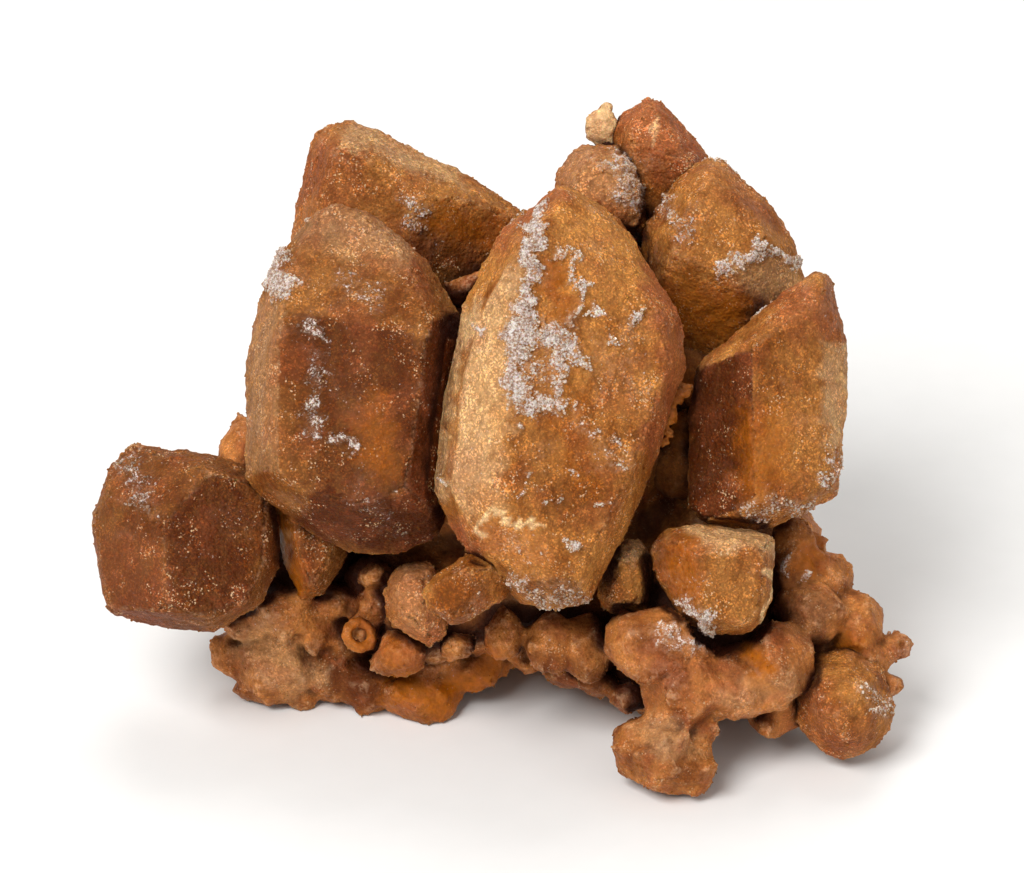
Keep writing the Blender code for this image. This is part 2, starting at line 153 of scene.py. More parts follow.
class Graph:
    """A shader or geometry node tree that is written as expressions."""

    def __init__(self, tree: bpy.types.NodeTree) -> None:
        """Wraps the tree.

        Args:
            tree: The node tree that nodes are added to.
        """
        self.tree = tree

    @staticmethod
    def _find(sockets: Iterable[bpy.types.NodeSocket], key: str) -> bpy.types.NodeSocket:
        """The first socket in use with this identifier or name."""
        return next(item for item in sockets if item.enabled and key in (item.identifier, item.name))

    def node(self, kind: str, settings: dict | None = None, out: str | None = None, **values: object) -> Link:
        """Adds a node.

        Args:
            kind: The node's type.
            settings: Its properties, set before its sockets; "stops" are a ramp's (place, colour) pairs.
            out: The output that is wanted, or None for the first one in use.
            **values: A value or a Link for each input, by the input's identifier or name.

        Returns:
            The output.
        """
        node = self.tree.nodes.new(kind)
        for name, value in (settings or {}).items():
            if name == "stops":
                self._set_stops(node, value)
            else:
                setattr(node, name, value)
        for key, value in values.items():
            socket = self._find(node.inputs, key.replace("__", " "))
            if isinstance(value, Link):
                self.tree.links.new(value.socket, socket)
            elif socket.type == "VECTOR" and isinstance(value, (int, float)):
                socket.default_value = (value, value, value)
            else:
                socket.default_value = value
        if out is None:
            return Link(self, next((item for item in node.outputs if item.enabled), None))
        return Link(self, self._find(node.outputs, out))

    @staticmethod
    def _set_stops(node: bpy.types.Node, stops: Sequence[tuple[float, Colour]]) -> None:
        """Gives a ramp its stops.

        Args:
            node: The Color Ramp node.
            stops: Pairs of place and colour, in order.
        """
        elements = node.color_ramp.elements
        while len(elements) < len(stops):
            elements.new(1.0)
        for element, (place, colour) in zip(elements, stops):
            element.position = place
            element.color = colour

    def other(self, link: Link, out: str) -> Link:
        """Another output of the node that a link comes from."""
        return Link(self, self._find(link.socket.node.outputs, out))

    def math(self, operation: str, *values: "Link | float", clamp: bool = False) -> Link:
        """A Math node.

        Args:
            operation: Its operation.
            *values: One to three values.
            clamp: Whether the result is kept from 0 to 1.

        Returns:
            The result.
        """
        keys = ("Value", "Value_001", "Value_002")
        settings = {"operation": operation, "use_clamp": clamp}
        return self.node("ShaderNodeMath", settings, **dict(zip(keys, values)))

    def vector(self, operation: str, first: Link, second: object) -> Link:
        """A Vector Math node on two vectors."""
        settings = {"operation": operation}
        return self.node("ShaderNodeVectorMath", settings, Vector=first, Vector_001=second)

    def scaled(self, vector: Link, by: "Link | float") -> Link:
        """The vector, times a number."""
        return self.node("ShaderNodeVectorMath", {"operation": "SCALE"}, Vector=vector, Scale=by)

    def smooth(self, value: "Link | float", low: "Link | float", high: "Link | float") -> Link:
        """0 below low, 1 above high and a smooth step between them."""
        settings = {"interpolation_type": "SMOOTHSTEP"}
        return self.node(
            "ShaderNodeMapRange", settings, **{"Value": value, "From Min": low, "From Max": high}
        )

    def noise(self, place: Link, scale: "Link | float", detail: float = 2.0, rough: float = 0.5) -> Link:
        """Noise from 0 to 1 at a place.

        Args:
            place: The point, in millimetres.
            scale: How many features there are to a millimetre.
            detail: How many finer layers are added.
            rough: How strong the finer layers are.

        Returns:
            The noise.
        """
        return self.node(
            "ShaderNodeTexNoise", Vector=place, Scale=scale, Detail=detail, Roughness=rough
        )

    def cells(self, place: Link, scale: "Link | float", out: str = "Distance") -> Link:
        """The distance to the nearest of the random points, or that point's random colour.

        Args:
            place: The point, in millimetres.
            scale: How many cells there are to a millimetre.
            out: Distance or Color.

        Returns:
            The distance or the colour.
        """
        return self.node("ShaderNodeTexVoronoi", {"feature": "F1"}, out=out, Vector=place, Scale=scale)

    def mix(self, share: "Link | float", first: object, second: object, blend: str = "MIX") -> Link:
        """Two colours mixed.

        Args:
            share: How much of the second there is.
            first: The first colour.
            second: The second colour.
            blend: The blend type.

        Returns:
            The mixed colour.
        """
        settings = {"data_type": "RGBA", "blend_type": blend}
        return self.node("ShaderNodeMix", settings, Factor=share, A=first, B=second)


class GeometryGraph(Graph):
    """A geometry node group with named inputs."""

    def __init__(self, name: str) -> None:
        """Makes the group, with its geometry in and out.

        Args:
            name: The group's name.
        """
        super().__init__(bpy.data.node_groups.new(name, "GeometryNodeTree"))
        self.tree.interface.new_socket("Body", in_out="INPUT", socket_type="NodeSocketGeometry")
        self.tree.interface.new_socket("Result", in_out="OUTPUT", socket_type="NodeSocketGeometry")
        self.entry = self.tree.nodes.new("NodeGroupInput")
        self.exit = self.tree.nodes.new("NodeGroupOutput")

    def named(self, name: str, kind: str = "NodeSocketFloat") -> Link:
        """A new input of the group."""
        self.tree.interface.new_socket(name, in_out="INPUT", socket_type=kind)
        return Link(self, self._find(self.entry.outputs, name))

    def body(self) -> Link:
        """The geometry that comes in."""
        return Link(self, self.entry.outputs[0])

    def finish(self, geometry: Link, material: Link) -> bpy.types.NodeTree:
        """Ends the group with real meshes of one material.

        Args:
            geometry: The geometry that goes out.
            material: The material it gets.

        Returns:
            The group.
        """
        real = self.node("GeometryNodeRealizeInstances", Geometry=geometry)
        dressed = self.node("GeometryNodeSetMaterial", Geometry=real, Material=material)
        self.tree.links.new(dressed.socket, self.exit.inputs[0])
        return self.tree


def view_axes() -> Matrix:
    """The view's across, up and out directions, as columns."""
    sine, cosine = math.sin(EYE_ELEVATION), math.cos(EYE_ELEVATION)
    return Matrix(((1.0, 0.0, 0.0), (0.0, sine, -cosine), (0.0, cosine, sine)))


def centred(across: float, back: float, height: float) -> Vector:
    """The point of the specimen's own frame that is this far from the ground under the view's middle."""
    return Vector((across - MIDDLE_ACROSS, back - MIDDLE_BACK, height))


def in_place(across: float, up: float, out: float) -> Vector:
    """The point that the eye sees at (across, up), at the depth out."""
    spread = 1.0 - out / EYE_DISTANCE
    middle = centred(0.0, 0.0, VIEW_MIDDLE_HEIGHT)
    return middle + view_axes() @ Vector((across * spread, up * spread, out))


def seen_at(points: np.ndarray) -> np.ndarray:
    """Where the eye sees points.

    Args:
        points: Points of the specimen's frame, one to a row.

    Returns:
        Their (across, up), one to a row.
    """
    axes = np.array(view_axes())
    part = (points - np.array(centred(0.0, 0.0, VIEW_MIDDLE_HEIGHT))) @ axes
    return part[:, :2] / (1.0 - part[:, 2:] / EYE_DISTANCE)


def facing(turn: float, lean: float) -> Vector:
    """The direction that faces turn in the view's plane and leans away from the eye by lean."""
    turn, lean = math.radians(turn), math.radians(lean)
    level = math.sin(lean)
    way = Vector((level * math.cos(turn), level * math.sin(turn), math.cos(lean)))
    return view_axes() @ way


def lump_planes(
    middle: Vector, half_sizes: Sequence[float], axes: Matrix, seed: int, faces: int = 15
) -> Planes:
    """The planes of a blunt body that fills an ellipsoid, with its faces spread evenly round it.

    Args:
        middle: The ellipsoid's middle.
        half_sizes: Its half sizes along its axes.
        axes: Its axes, as columns.
        seed: What the faces' small differences are drawn from.
        faces: The number of faces.

    Returns:
        A point and a direction for each face.
    """
    rng = random.Random(seed)
    spin = rng.uniform(0.0, 360.0)
    planes = []
    for index in range(faces):
        rise = 1.0 - 2.0 * (index + 0.5) / faces
        level = math.sqrt(1.0 - rise * rise)
        angle = math.radians(spin + index * GOLDEN_TURN + rng.uniform(-16.0, 16.0))
        way = Vector((level * math.cos(angle), rise, level * math.sin(angle)))
        stretched = Vector(size * part for size, part in zip(half_sizes, way))
        way = axes @ way
        planes.append((middle + way * stretched.length * rng.uniform(0.86, 1.0), way))
    return planes


def prism_planes(middle: Vector, half_sizes: Sequence[float], axes: Matrix, seed: int) -> Planes:
    """The planes of a stubby prism with a slanting end and bevelled sides, as the druse's crystals have.

    Args:
        middle: The prism's middle.
        half_sizes: Its half sizes along its axes; the second is its length.
        axes: Its axes, as columns.
        seed: What its slants are drawn from.

    Returns:
        A point and a direction for each face.
    """
    rng = random.Random(seed)
    ways = [(1, 0, 0), (-1, 0, 0), (0, 0, 1), (0, 0, -1), (0.8, 0, 0.7), (-0.7, 0, 0.8)]
    ways += [(rng.uniform(-0.6, 0.6), 1, rng.uniform(-0.6, 0.6)), (0.7, 0.8, 0.1), (0, -1, 0)]
    planes = []
    for way in ways:
        way = Vector(way).normalized()
        reach = Vector(size * part for size, part in zip(half_sizes, way)).length
        way = axes @ way
        planes.append((middle + way * reach * rng.uniform(0.84, 1.0), way))
    return planes


def cut_body(body: bmesh.types.BMesh, planes: Planes, middle: Vector) -> None:
    """Adds a convex body to a mesh: a block about the middle, cut by each plane and capped.

    Args:
        body: The mesh, which may hold other bodies already.
        planes: The planes that bound the new body.
        middle: A point inside it.
    """
    ground = (Vector((0.0, 0.0, 0.0)), Vector((0.0, 0.0, -1.0)))
    made = bmesh.ops.create_cube(body, size=BLOCK_SIZE, matrix=Matrix.Translation(middle))
    verts = set(made["verts"])
    for point, direction in [*planes, ground]:
        edges = {edge for vert in verts for edge in vert.link_edges}
        faces = {face for vert in verts for face in vert.link_faces}
        cut = bmesh.ops.bisect_plane(
            body,
            geom=[*verts, *edges, *faces],
            plane_co=point,
            plane_no=direction,
            clear_outer=True,
        )
        rim = [item for item in cut["geom_cut"] if isinstance(item, bmesh.types.BMEdge)]
        if len(rim) >= 3:
            bmesh.ops.contextual_create(body, geom=rim)
        verts = {vert for vert in verts if vert.is_valid}
        verts |= {item for item in cut["geom_cut"] if isinstance(item, bmesh.types.BMVert)}
    bmesh.ops.remove_doubles(body, verts=list(verts), dist=CORNER_MERGE)


def new_mesh(name: str, bodies: Iterable[tuple[Planes, Vector]]) -> bpy.types.Mesh:
    """One mesh of convex bodies.

    Args:
        name: The mesh's name.
        bodies: The planes and the middle of each.

    Returns:
        The mesh, in millimetres.
    """
    mesh = bpy.data.meshes.new(name)
    whole = bmesh.new()
    for planes, middle in bodies:
        body = bmesh.new()
        cut_body(body, planes, middle)
        bmesh.ops.recalc_face_normals(body, faces=body.faces)
        scratch = bpy.data.meshes.new("one body")
        body.to_mesh(scratch)
        body.free()
        whole.from_mesh(scratch)
        bpy.data.meshes.remove(scratch)
    whole.to_mesh(mesh)
    whole.free()
    return mesh


def settled(shape: bpy.types.Object, name: str) -> bpy.types.Object:
    """Turns an object's evaluated shape into a plain mesh object, and removes the object.

    Args:
        shape: The object with modifiers.
        name: The new object's name.

    Returns:
        The plain object.
    """
    graph = bpy.context.evaluated_depsgraph_get()
    mesh = bpy.data.meshes.new_from_object(shape.evaluated_get(graph))
    mesh.name = name
    bpy.data.objects.remove(shape, do_unlink=True)
    return linked(name, mesh)


def linked(name: str, mesh: bpy.types.Mesh) -> bpy.types.Object:
    """A new object of the mesh, in the scene."""
    item = bpy.data.objects.new(name, mesh)
    bpy.context.scene.collection.objects.link(item)
    return item


def voxel_skinned(name: str, mesh: bpy.types.Mesh, voxel: float) -> bpy.types.Object:
    """The mesh's bodies as one even skin.

    Args:
        name: The object's name.
        mesh: Closed bodies, which may overlap.
        voxel: The skin's resolution in millimetres.

    Returns:
        The object.
    """
    shape = linked("rough", mesh)
    remesh = shape.modifiers.new("skin", "REMESH")
    remesh.mode = "VOXEL"
    remesh.voxel_size = voxel
    remesh.use_smooth_shade = True
    return settled(shape, name)


def coordinates(mesh: bpy.types.Mesh) -> np.ndarray:
    """The mesh's points, one to a row."""
    flat = np.empty(len(mesh.vertices) * 3, np.float32)
    mesh.vertices.foreach_get("co", flat)
    return flat.reshape(-1, 3)


def ruffled(seen: np.ndarray) -> np.ndarray:
    """The places, shifted sideways by one wave after another, so that strokes have torn edges.

    Args:
        seen: Where the eye sees the points, one to a row.

    Returns:
        The shifted places.
    """
    moved = seen.copy()
    for reach, length, turn in RUFFLES:
        along = np.array((math.cos(math.radians(turn)), math.sin(math.radians(turn))))
        beside = np.array((-along[1], along[0]))
        moved += reach * np.sin(moved @ along * math.tau / length)[:, None] * beside
    return moved


def stroke_cover(seen: np.ndarray, mark: Mark) -> np.ndarray:
    """How much of a mark there is at each point: full along its middle and none past its edge.

    Args:
        seen: Where the eye sees the points, one to a row.
        mark: The mark.

    Returns:
        A number from 0 to 1 for each point.
    """
    ends = np.array(mark.points, float)
    if len(ends) == 1:
        ends = np.vstack([ends, ends])
    nearest = np.full(len(seen), np.inf)
    for start, end in zip(ends[:-1], ends[1:]):
        run = end - start
        share = np.clip((seen - start) @ run / max(float(run @ run), 1e-9), 0.0, 1.0)
        nearest = np.minimum(nearest, np.linalg.norm(seen - start - share[:, None] * run, axis=1))
    return mark.strength * np.clip(1.5 - nearest / mark.width, 0.0, 1.0)


def drifted(points: np.ndarray) -> np.ndarray:
    """Where dust drifted over what the marks don't reach.

    Args:
        points: Points of the specimen, one to a row.

    Returns:
        A number from 0 to 1 for each point, high in patches of a few millimetres.
    """
    across, back, height = points.T
    wave = np.sin(1.15 * across + 1.4 * np.sin(0.8 * height)) + np.sin(1.3 * height + 1.2 * np.sin(0.9 * back))
    wave += np.sin(1.05 * back + 1.5 * np.sin(0.7 * across))
    return np.clip(wave * 0.6 - 0.35, 0.0, 1.0)


def paint(mesh: bpy.types.Mesh, marks: Iterable[Mark]) -> None:
    """Stores each tone's cover on the mesh as a point attribute.

    Args:
        mesh: The mesh, in millimetres.
        marks: The marks on it.
    """
    points = coordinates(mesh)
    seen = ruffled(seen_at(points))
    flat = np.empty(len(mesh.vertices) * 3, np.float32)
    mesh.vertex_normals.foreach_get("vector", flat)
    normals = flat.reshape(-1, 3)
    outward = normals @ np.array(view_axes().col[2])
    showing = np.clip((outward + 0.1) / 0.3, 0.0, 1.0)
    cover = {tone: np.zeros(len(seen)) for tone in Tone}
    for mark in marks:
        amount = stroke_cover(seen, mark) * showing
        if mark.facet:
            amount *= np.clip((normals @ np.array(facing(*mark.facet)) - 0.8) / 0.12, 0.0, 1.0)
        cover[mark.tone] = np.maximum(cover[mark.tone], amount)
    hidden = 1.0 - showing
    beyond = np.clip((-0.12 - outward) / 0.3, 0.0, 1.0)
    upward = np.clip(0.35 + normals[:, 2], 0.0, 1.0)
    cover[Tone.POWDER] = np.maximum(cover[Tone.POWDER], 0.8 * beyond * upward * drifted(points))
    # Painted shade: faces that turn down and away from the eye take the deep tone.
    cover[Tone.DEEP] = np.maximum(cover[Tone.DEEP], 0.5 * hidden * (1.0 - upward))
    cover[Tone.AMBER] = np.maximum(cover[Tone.AMBER], 0.6 * hidden * drifted(points[:, ::-1] * 0.8))
    for tone, amount in cover.items():
        layer = mesh.attributes.new(tone.value, "FLOAT", "POINT")
        layer.data.foreach_set("value", amount.astype(np.float32))


def solid_guide() -> bpy.types.Object:
    """A copy of the part's solid in millimetres, which the skins look for their surroundings in."""
    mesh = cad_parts[NODE].data.copy()
    mesh.transform(Matrix.Scale(1.0 / MM, 4))
    guide = linked("guide", mesh)
    guide.hide_render = True
    return guide


@dataclass(frozen=True)
class Skin:
    """How a surface grew. Sizes and heights are in millimetres, and each field is an input of the tree."""

    rounding: int = 2
    swell_size: float = 3.4
    swell_height: float = 0.34
    ledge_size: float = 2.6
    ledge_height: float = 0.26
    ripple_size: float = 0.7
    ripple_height: float = 0.11
    grain_size: float = 0.34
    grain_height: float = 0.06
    edge_crumble: float = 0.36
    coat_height: float = 0.22

    @staticmethod
    def _cavity(graph: GeometryGraph, solids: Link, place: Link, normal: Link) -> Link:
        """How deep in a cavity a point lies.

        Args:
            graph: The tree.
            solids: The whole specimen's surface.
            place: The point.
            normal: The surface's direction there.

        Returns:
            The share of the room round the point that the specimen itself fills, from 0 to 1.
        """
        rays, lift, reach = 14, 0.45, 6.0
        start = graph.vector("ADD", place, graph.scaled(normal, lift))
        filled = 0.0
        for index in range(rays):
            rise = 1.0 - 2.0 * (index + 0.5) / rays
            level, angle = math.sqrt(1.0 - rise * rise), math.radians(index * GOLDEN_TURN)
            way = (level * math.cos(angle), level * math.sin(angle), rise)
            met = graph.node(
                "GeometryNodeRaycast",
                out="Is Hit",
                **{
                    "Target Geometry": solids,
                    "Source Position": start,
                    "Ray Direction": graph.vector("ADD", normal, way),
                    "Ray Length": reach,
                },
            )
            distance = graph.other(met, "Hit Distance")
            filled = met * (1.0 - distance / reach) * (1.0 / rays) + filled
        return filled

    @staticmethod
    def tree() -> bpy.types.NodeTree:
        """The tree that all the skins share.

        Returns:
            A group that rounds a body's edges, raises its surface and stores how it stands out.
        """
        graph = GeometryGraph("grown skin")
        size = {item.name: graph.named(item.name) for item in fields(Skin)}
        material = graph.named("material", "NodeSocketMaterial")
        guide = graph.named("guide", "NodeSocketObject")
        solids = graph.node("GeometryNodeObjectInfo", out="Geometry", Object=guide)
        place = graph.node("GeometryNodeInputPosition")
        normal = graph.node("GeometryNodeInputNormal")
        wide = graph.node("GeometryNodeBlurAttribute", {"data_type": "FLOAT_VECTOR"}, Value=place, Iterations=20)
        stand = graph.node(
            "ShaderNodeVectorMath",
            {"operation": "DOT_PRODUCT"},
            Vector=graph.vector("SUBTRACT", place, wide),
            Vector_001=normal,
        )
        cover = graph.node("GeometryNodeInputNamedAttribute", {"data_type": "FLOAT"}, Name=Tone.POWDER.value)
        torn = graph.noise(place, 1.7, 6.0, 0.78) - 0.5
        broken = graph.smooth(cover + 1.3 * torn, 0.4, 0.62)
        body = graph.body()
        for name, value in (("edge", stand), ("coat", broken)):
            body = graph.node(
                "GeometryNodeStoreNamedAttribute", {"data_type": "FLOAT"}, Geometry=body, Name=name, Value=value
            )
        rounded = graph.node(
            "GeometryNodeBlurAttribute",
            {"data_type": "FLOAT_VECTOR"},
            Value=place,
            Iterations=size["rounding"],
        )
        body = graph.node("GeometryNodeSetPosition", Geometry=body, Position=rounded)
        edge = graph.node("GeometryNodeInputNamedAttribute", {"data_type": "FLOAT"}, Name="edge")
        coat = graph.node("GeometryNodeInputNamedAttribute", {"data_type": "FLOAT"}, Name="coat")
        on_ridge = graph.smooth(edge, 0.03, 0.16)
        swell = size["swell_height"] * (graph.noise(place, 1.0 / size["swell_size"], 2.0) - 0.5)
        drawn_out = graph.vector("MULTIPLY", place, (1.0, 1.0, 0.45))
        steps = graph.noise(drawn_out, 1.0 / size["ledge_size"], 3.0, 0.55) * 9.0
        level = graph.math("FLOOR", steps)
        rise = graph.smooth(graph.math("FRACT", steps), 0.36, 0.64)
        ledge = size["ledge_height"] * ((level + rise) / 9.0 - 0.5) * 2.0
        ripple = size["ripple_height"] * (graph.noise(place, 1.0 / size["ripple_size"], 3.0) - 0.5) * 2.0
        grains = 0.5 - graph.cells(place, 1.0 / size["grain_size"])
        chips = graph.smooth(graph.noise(place, 0.95, 5.0, 0.72), 0.45, 0.6)
        crumble = size["edge_crumble"] * on_ridge * (0.0 - chips)
        sugar = grains * (size["grain_height"] * (1.0 + 2.4 * on_ridge + 1.6 * coat))
        powder = size["coat_height"] * coat * (0.3 + graph.noise(place, 3.6, 4.0, 0.75))
        height = swell + ledge + ripple + crumble + sugar + powder
        body = graph.node("GeometryNodeSetPosition", Geometry=body, Offset=graph.scaled(normal, height))
        grounded = graph.vector("MAXIMUM", place, (-BLOCK_SIZE, -BLOCK_SIZE, 0.0))
        body = graph.node("GeometryNodeSetPosition", Geometry=body, Position=grounded)
        # How closed in each point is, which the materials turn into painted shade.
        cavity = graph.node(
            "GeometryNodeBlurAttribute",
            {"data_type": "FLOAT"},
            Value=Skin._cavity(graph, solids, place, normal),
            Iterations=4,
        )
        body = graph.node(
            "GeometryNodeStoreNamedAttribute", {"data_type": "FLOAT"}, Geometry=body, Name="cavity", Value=cavity
        )
        return graph.finish(body, material)


@dataclass(frozen=True)
class Scatter:
    """Small grains set on a surface. Sizes are in millimetres, and each field is an input of the tree."""

    density: float = 20.0
    smallest: float = 0.08
    largest: float = 0.2
    sink: float = 0.3
    coat_share: float = 0.0
    edge_share: float = 0.0
    seed: int = 1

    @staticmethod
    def tree() -> bpy.types.NodeTree:
        """The tree that all the scatters share.

        Returns:
            A group that turns a skinned body into the grains on it, blocks and blunt crumbs mixed.
        """
        graph = GeometryGraph("scattered grains")
        size = {
            item.name: graph.named(item.name, "NodeSocketInt" if item.type is int else "NodeSocketFloat")
            for item in fields(Scatter)
        }
        material = graph.named("material", "NodeSocketMaterial")
        place = graph.node("GeometryNodeInputPosition")
        coat = graph.node("GeometryNodeInputNamedAttribute", {"data_type": "FLOAT"}, Name="coat")
        edge = graph.node("GeometryNodeInputNamedAttribute", {"data_type": "FLOAT"}, Name="edge")
        clumps = graph.smooth(graph.noise(place, 0.7, 3.0), 0.42, 0.62)
        on_ridge = graph.smooth(edge, 0.02, 0.14)
        bare = 1.0 - size["coat_share"] - size["edge_share"]
        share = coat * size["coat_share"] + on_ridge * size["edge_share"] + clumps * bare
        above = graph.smooth(graph.node("ShaderNodeSeparateXYZ", out="Z", Vector=place), 0.45, 0.7)
        points = graph.node(
            "GeometryNodeDistributePointsOnFaces",
            {"distribute_method": "RANDOM"},
            Mesh=graph.body(),
            Density=size["density"] * share * above,
            Seed=size["seed"],
        )
        block = graph.node("GeometryNodeMeshCube", Size=(1.5, 1.5, 1.9))
        crumb = graph.node("GeometryNodeMeshIcoSphere", Radius=1.0, Subdivisions=1)
        kinds = graph.tree.nodes.new("GeometryNodeGeometryToInstance")
        for part in (crumb, block):
            graph.tree.links.new(part.socket, kinds.inputs[0])
        turn = graph.node(
            "FunctionNodeRandomValue",
            {"data_type": "FLOAT_VECTOR"},
            Min=(0.0, 0.0, 0.0),
            Max=(math.tau, math.tau, math.tau),
            Seed=size["seed"],
        )
        girth = graph.node(
            "FunctionNodeRandomValue",
            {"data_type": "FLOAT"},
            Min=0.0,
            Max=1.0,
            Seed=size["seed"] + 1.0,
        )
        girth = size["smallest"] + (size["largest"] - size["smallest"]) * girth * girth
        shape = graph.node(
            "FunctionNodeRandomValue",
            {"data_type": "FLOAT_VECTOR"},
            Min=(0.6, 0.6, 0.6),
            Max=(1.1, 1.1, 1.1),
            Seed=size["seed"] + 2.0,
        )
        grains = graph.node(
            "GeometryNodeInstanceOnPoints",
            {},
            Points=points,
            Instance=Link(graph, kinds.outputs[0]),
            **{
                "Pick Instance": True,
                "Rotation": turn,
                "Scale": graph.scaled(shape, girth),
            },
        )
        return graph.finish(grains, material)


def applied(
    body: bpy.types.Object, name: str, sizes: Skin | Scatter, material: bpy.types.Material
) -> bpy.types.Object:
    """Runs a skin's or a scatter's tree on a body, which is used up.

    Args:
        body: The body, in millimetres.
        name: The new object's name.
        sizes: The skin or scatter.
        material: The material of the result.

    Returns:
        The result as a plain object.
    """
    key = type(sizes).__name__
    group = bpy.data.node_groups.get(key)
    if group is None:
        group = sizes.tree()
        group.name = key
    modifier = body.modifiers.new(key, "NODES")
    modifier.node_group = group
    handed = {"material": material, "guide": bpy.data.objects["guide"]}
    for item in group.interface.items_tree:
        if item.in_out == "INPUT" and item.name != "Body":
            modifier[item.identifier] = handed.get(item.name) or getattr(sizes, item.name)
    return settled(body, name)


def handed_over(piece: bpy.types.Object) -> bpy.types.Object:
    """Scales a finished piece to metres and ties it to the part.

    Args:
        piece: The piece, in millimetres.

    Returns:
        The piece.
    """
    piece.data.transform(Matrix.Scale(MM, 4))
    piece.data.update()
    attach(piece, "root")
    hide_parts(NODE)
    LOG.info("%s: %d faces", piece.name, len(piece.data.polygons))
    return piece


def screen(red: int, green: int, blue: int) -> Colour:
    """A colour of a screen, 0 to 255, as linear light."""
    parts = []
    for value in (red, green, blue):
        share = value / 255.0
        parts.append(share / 12.92 if share <= 0.04045 else ((share + 0.055) / 1.055) ** 2.4)
    return (*parts, 1.0)


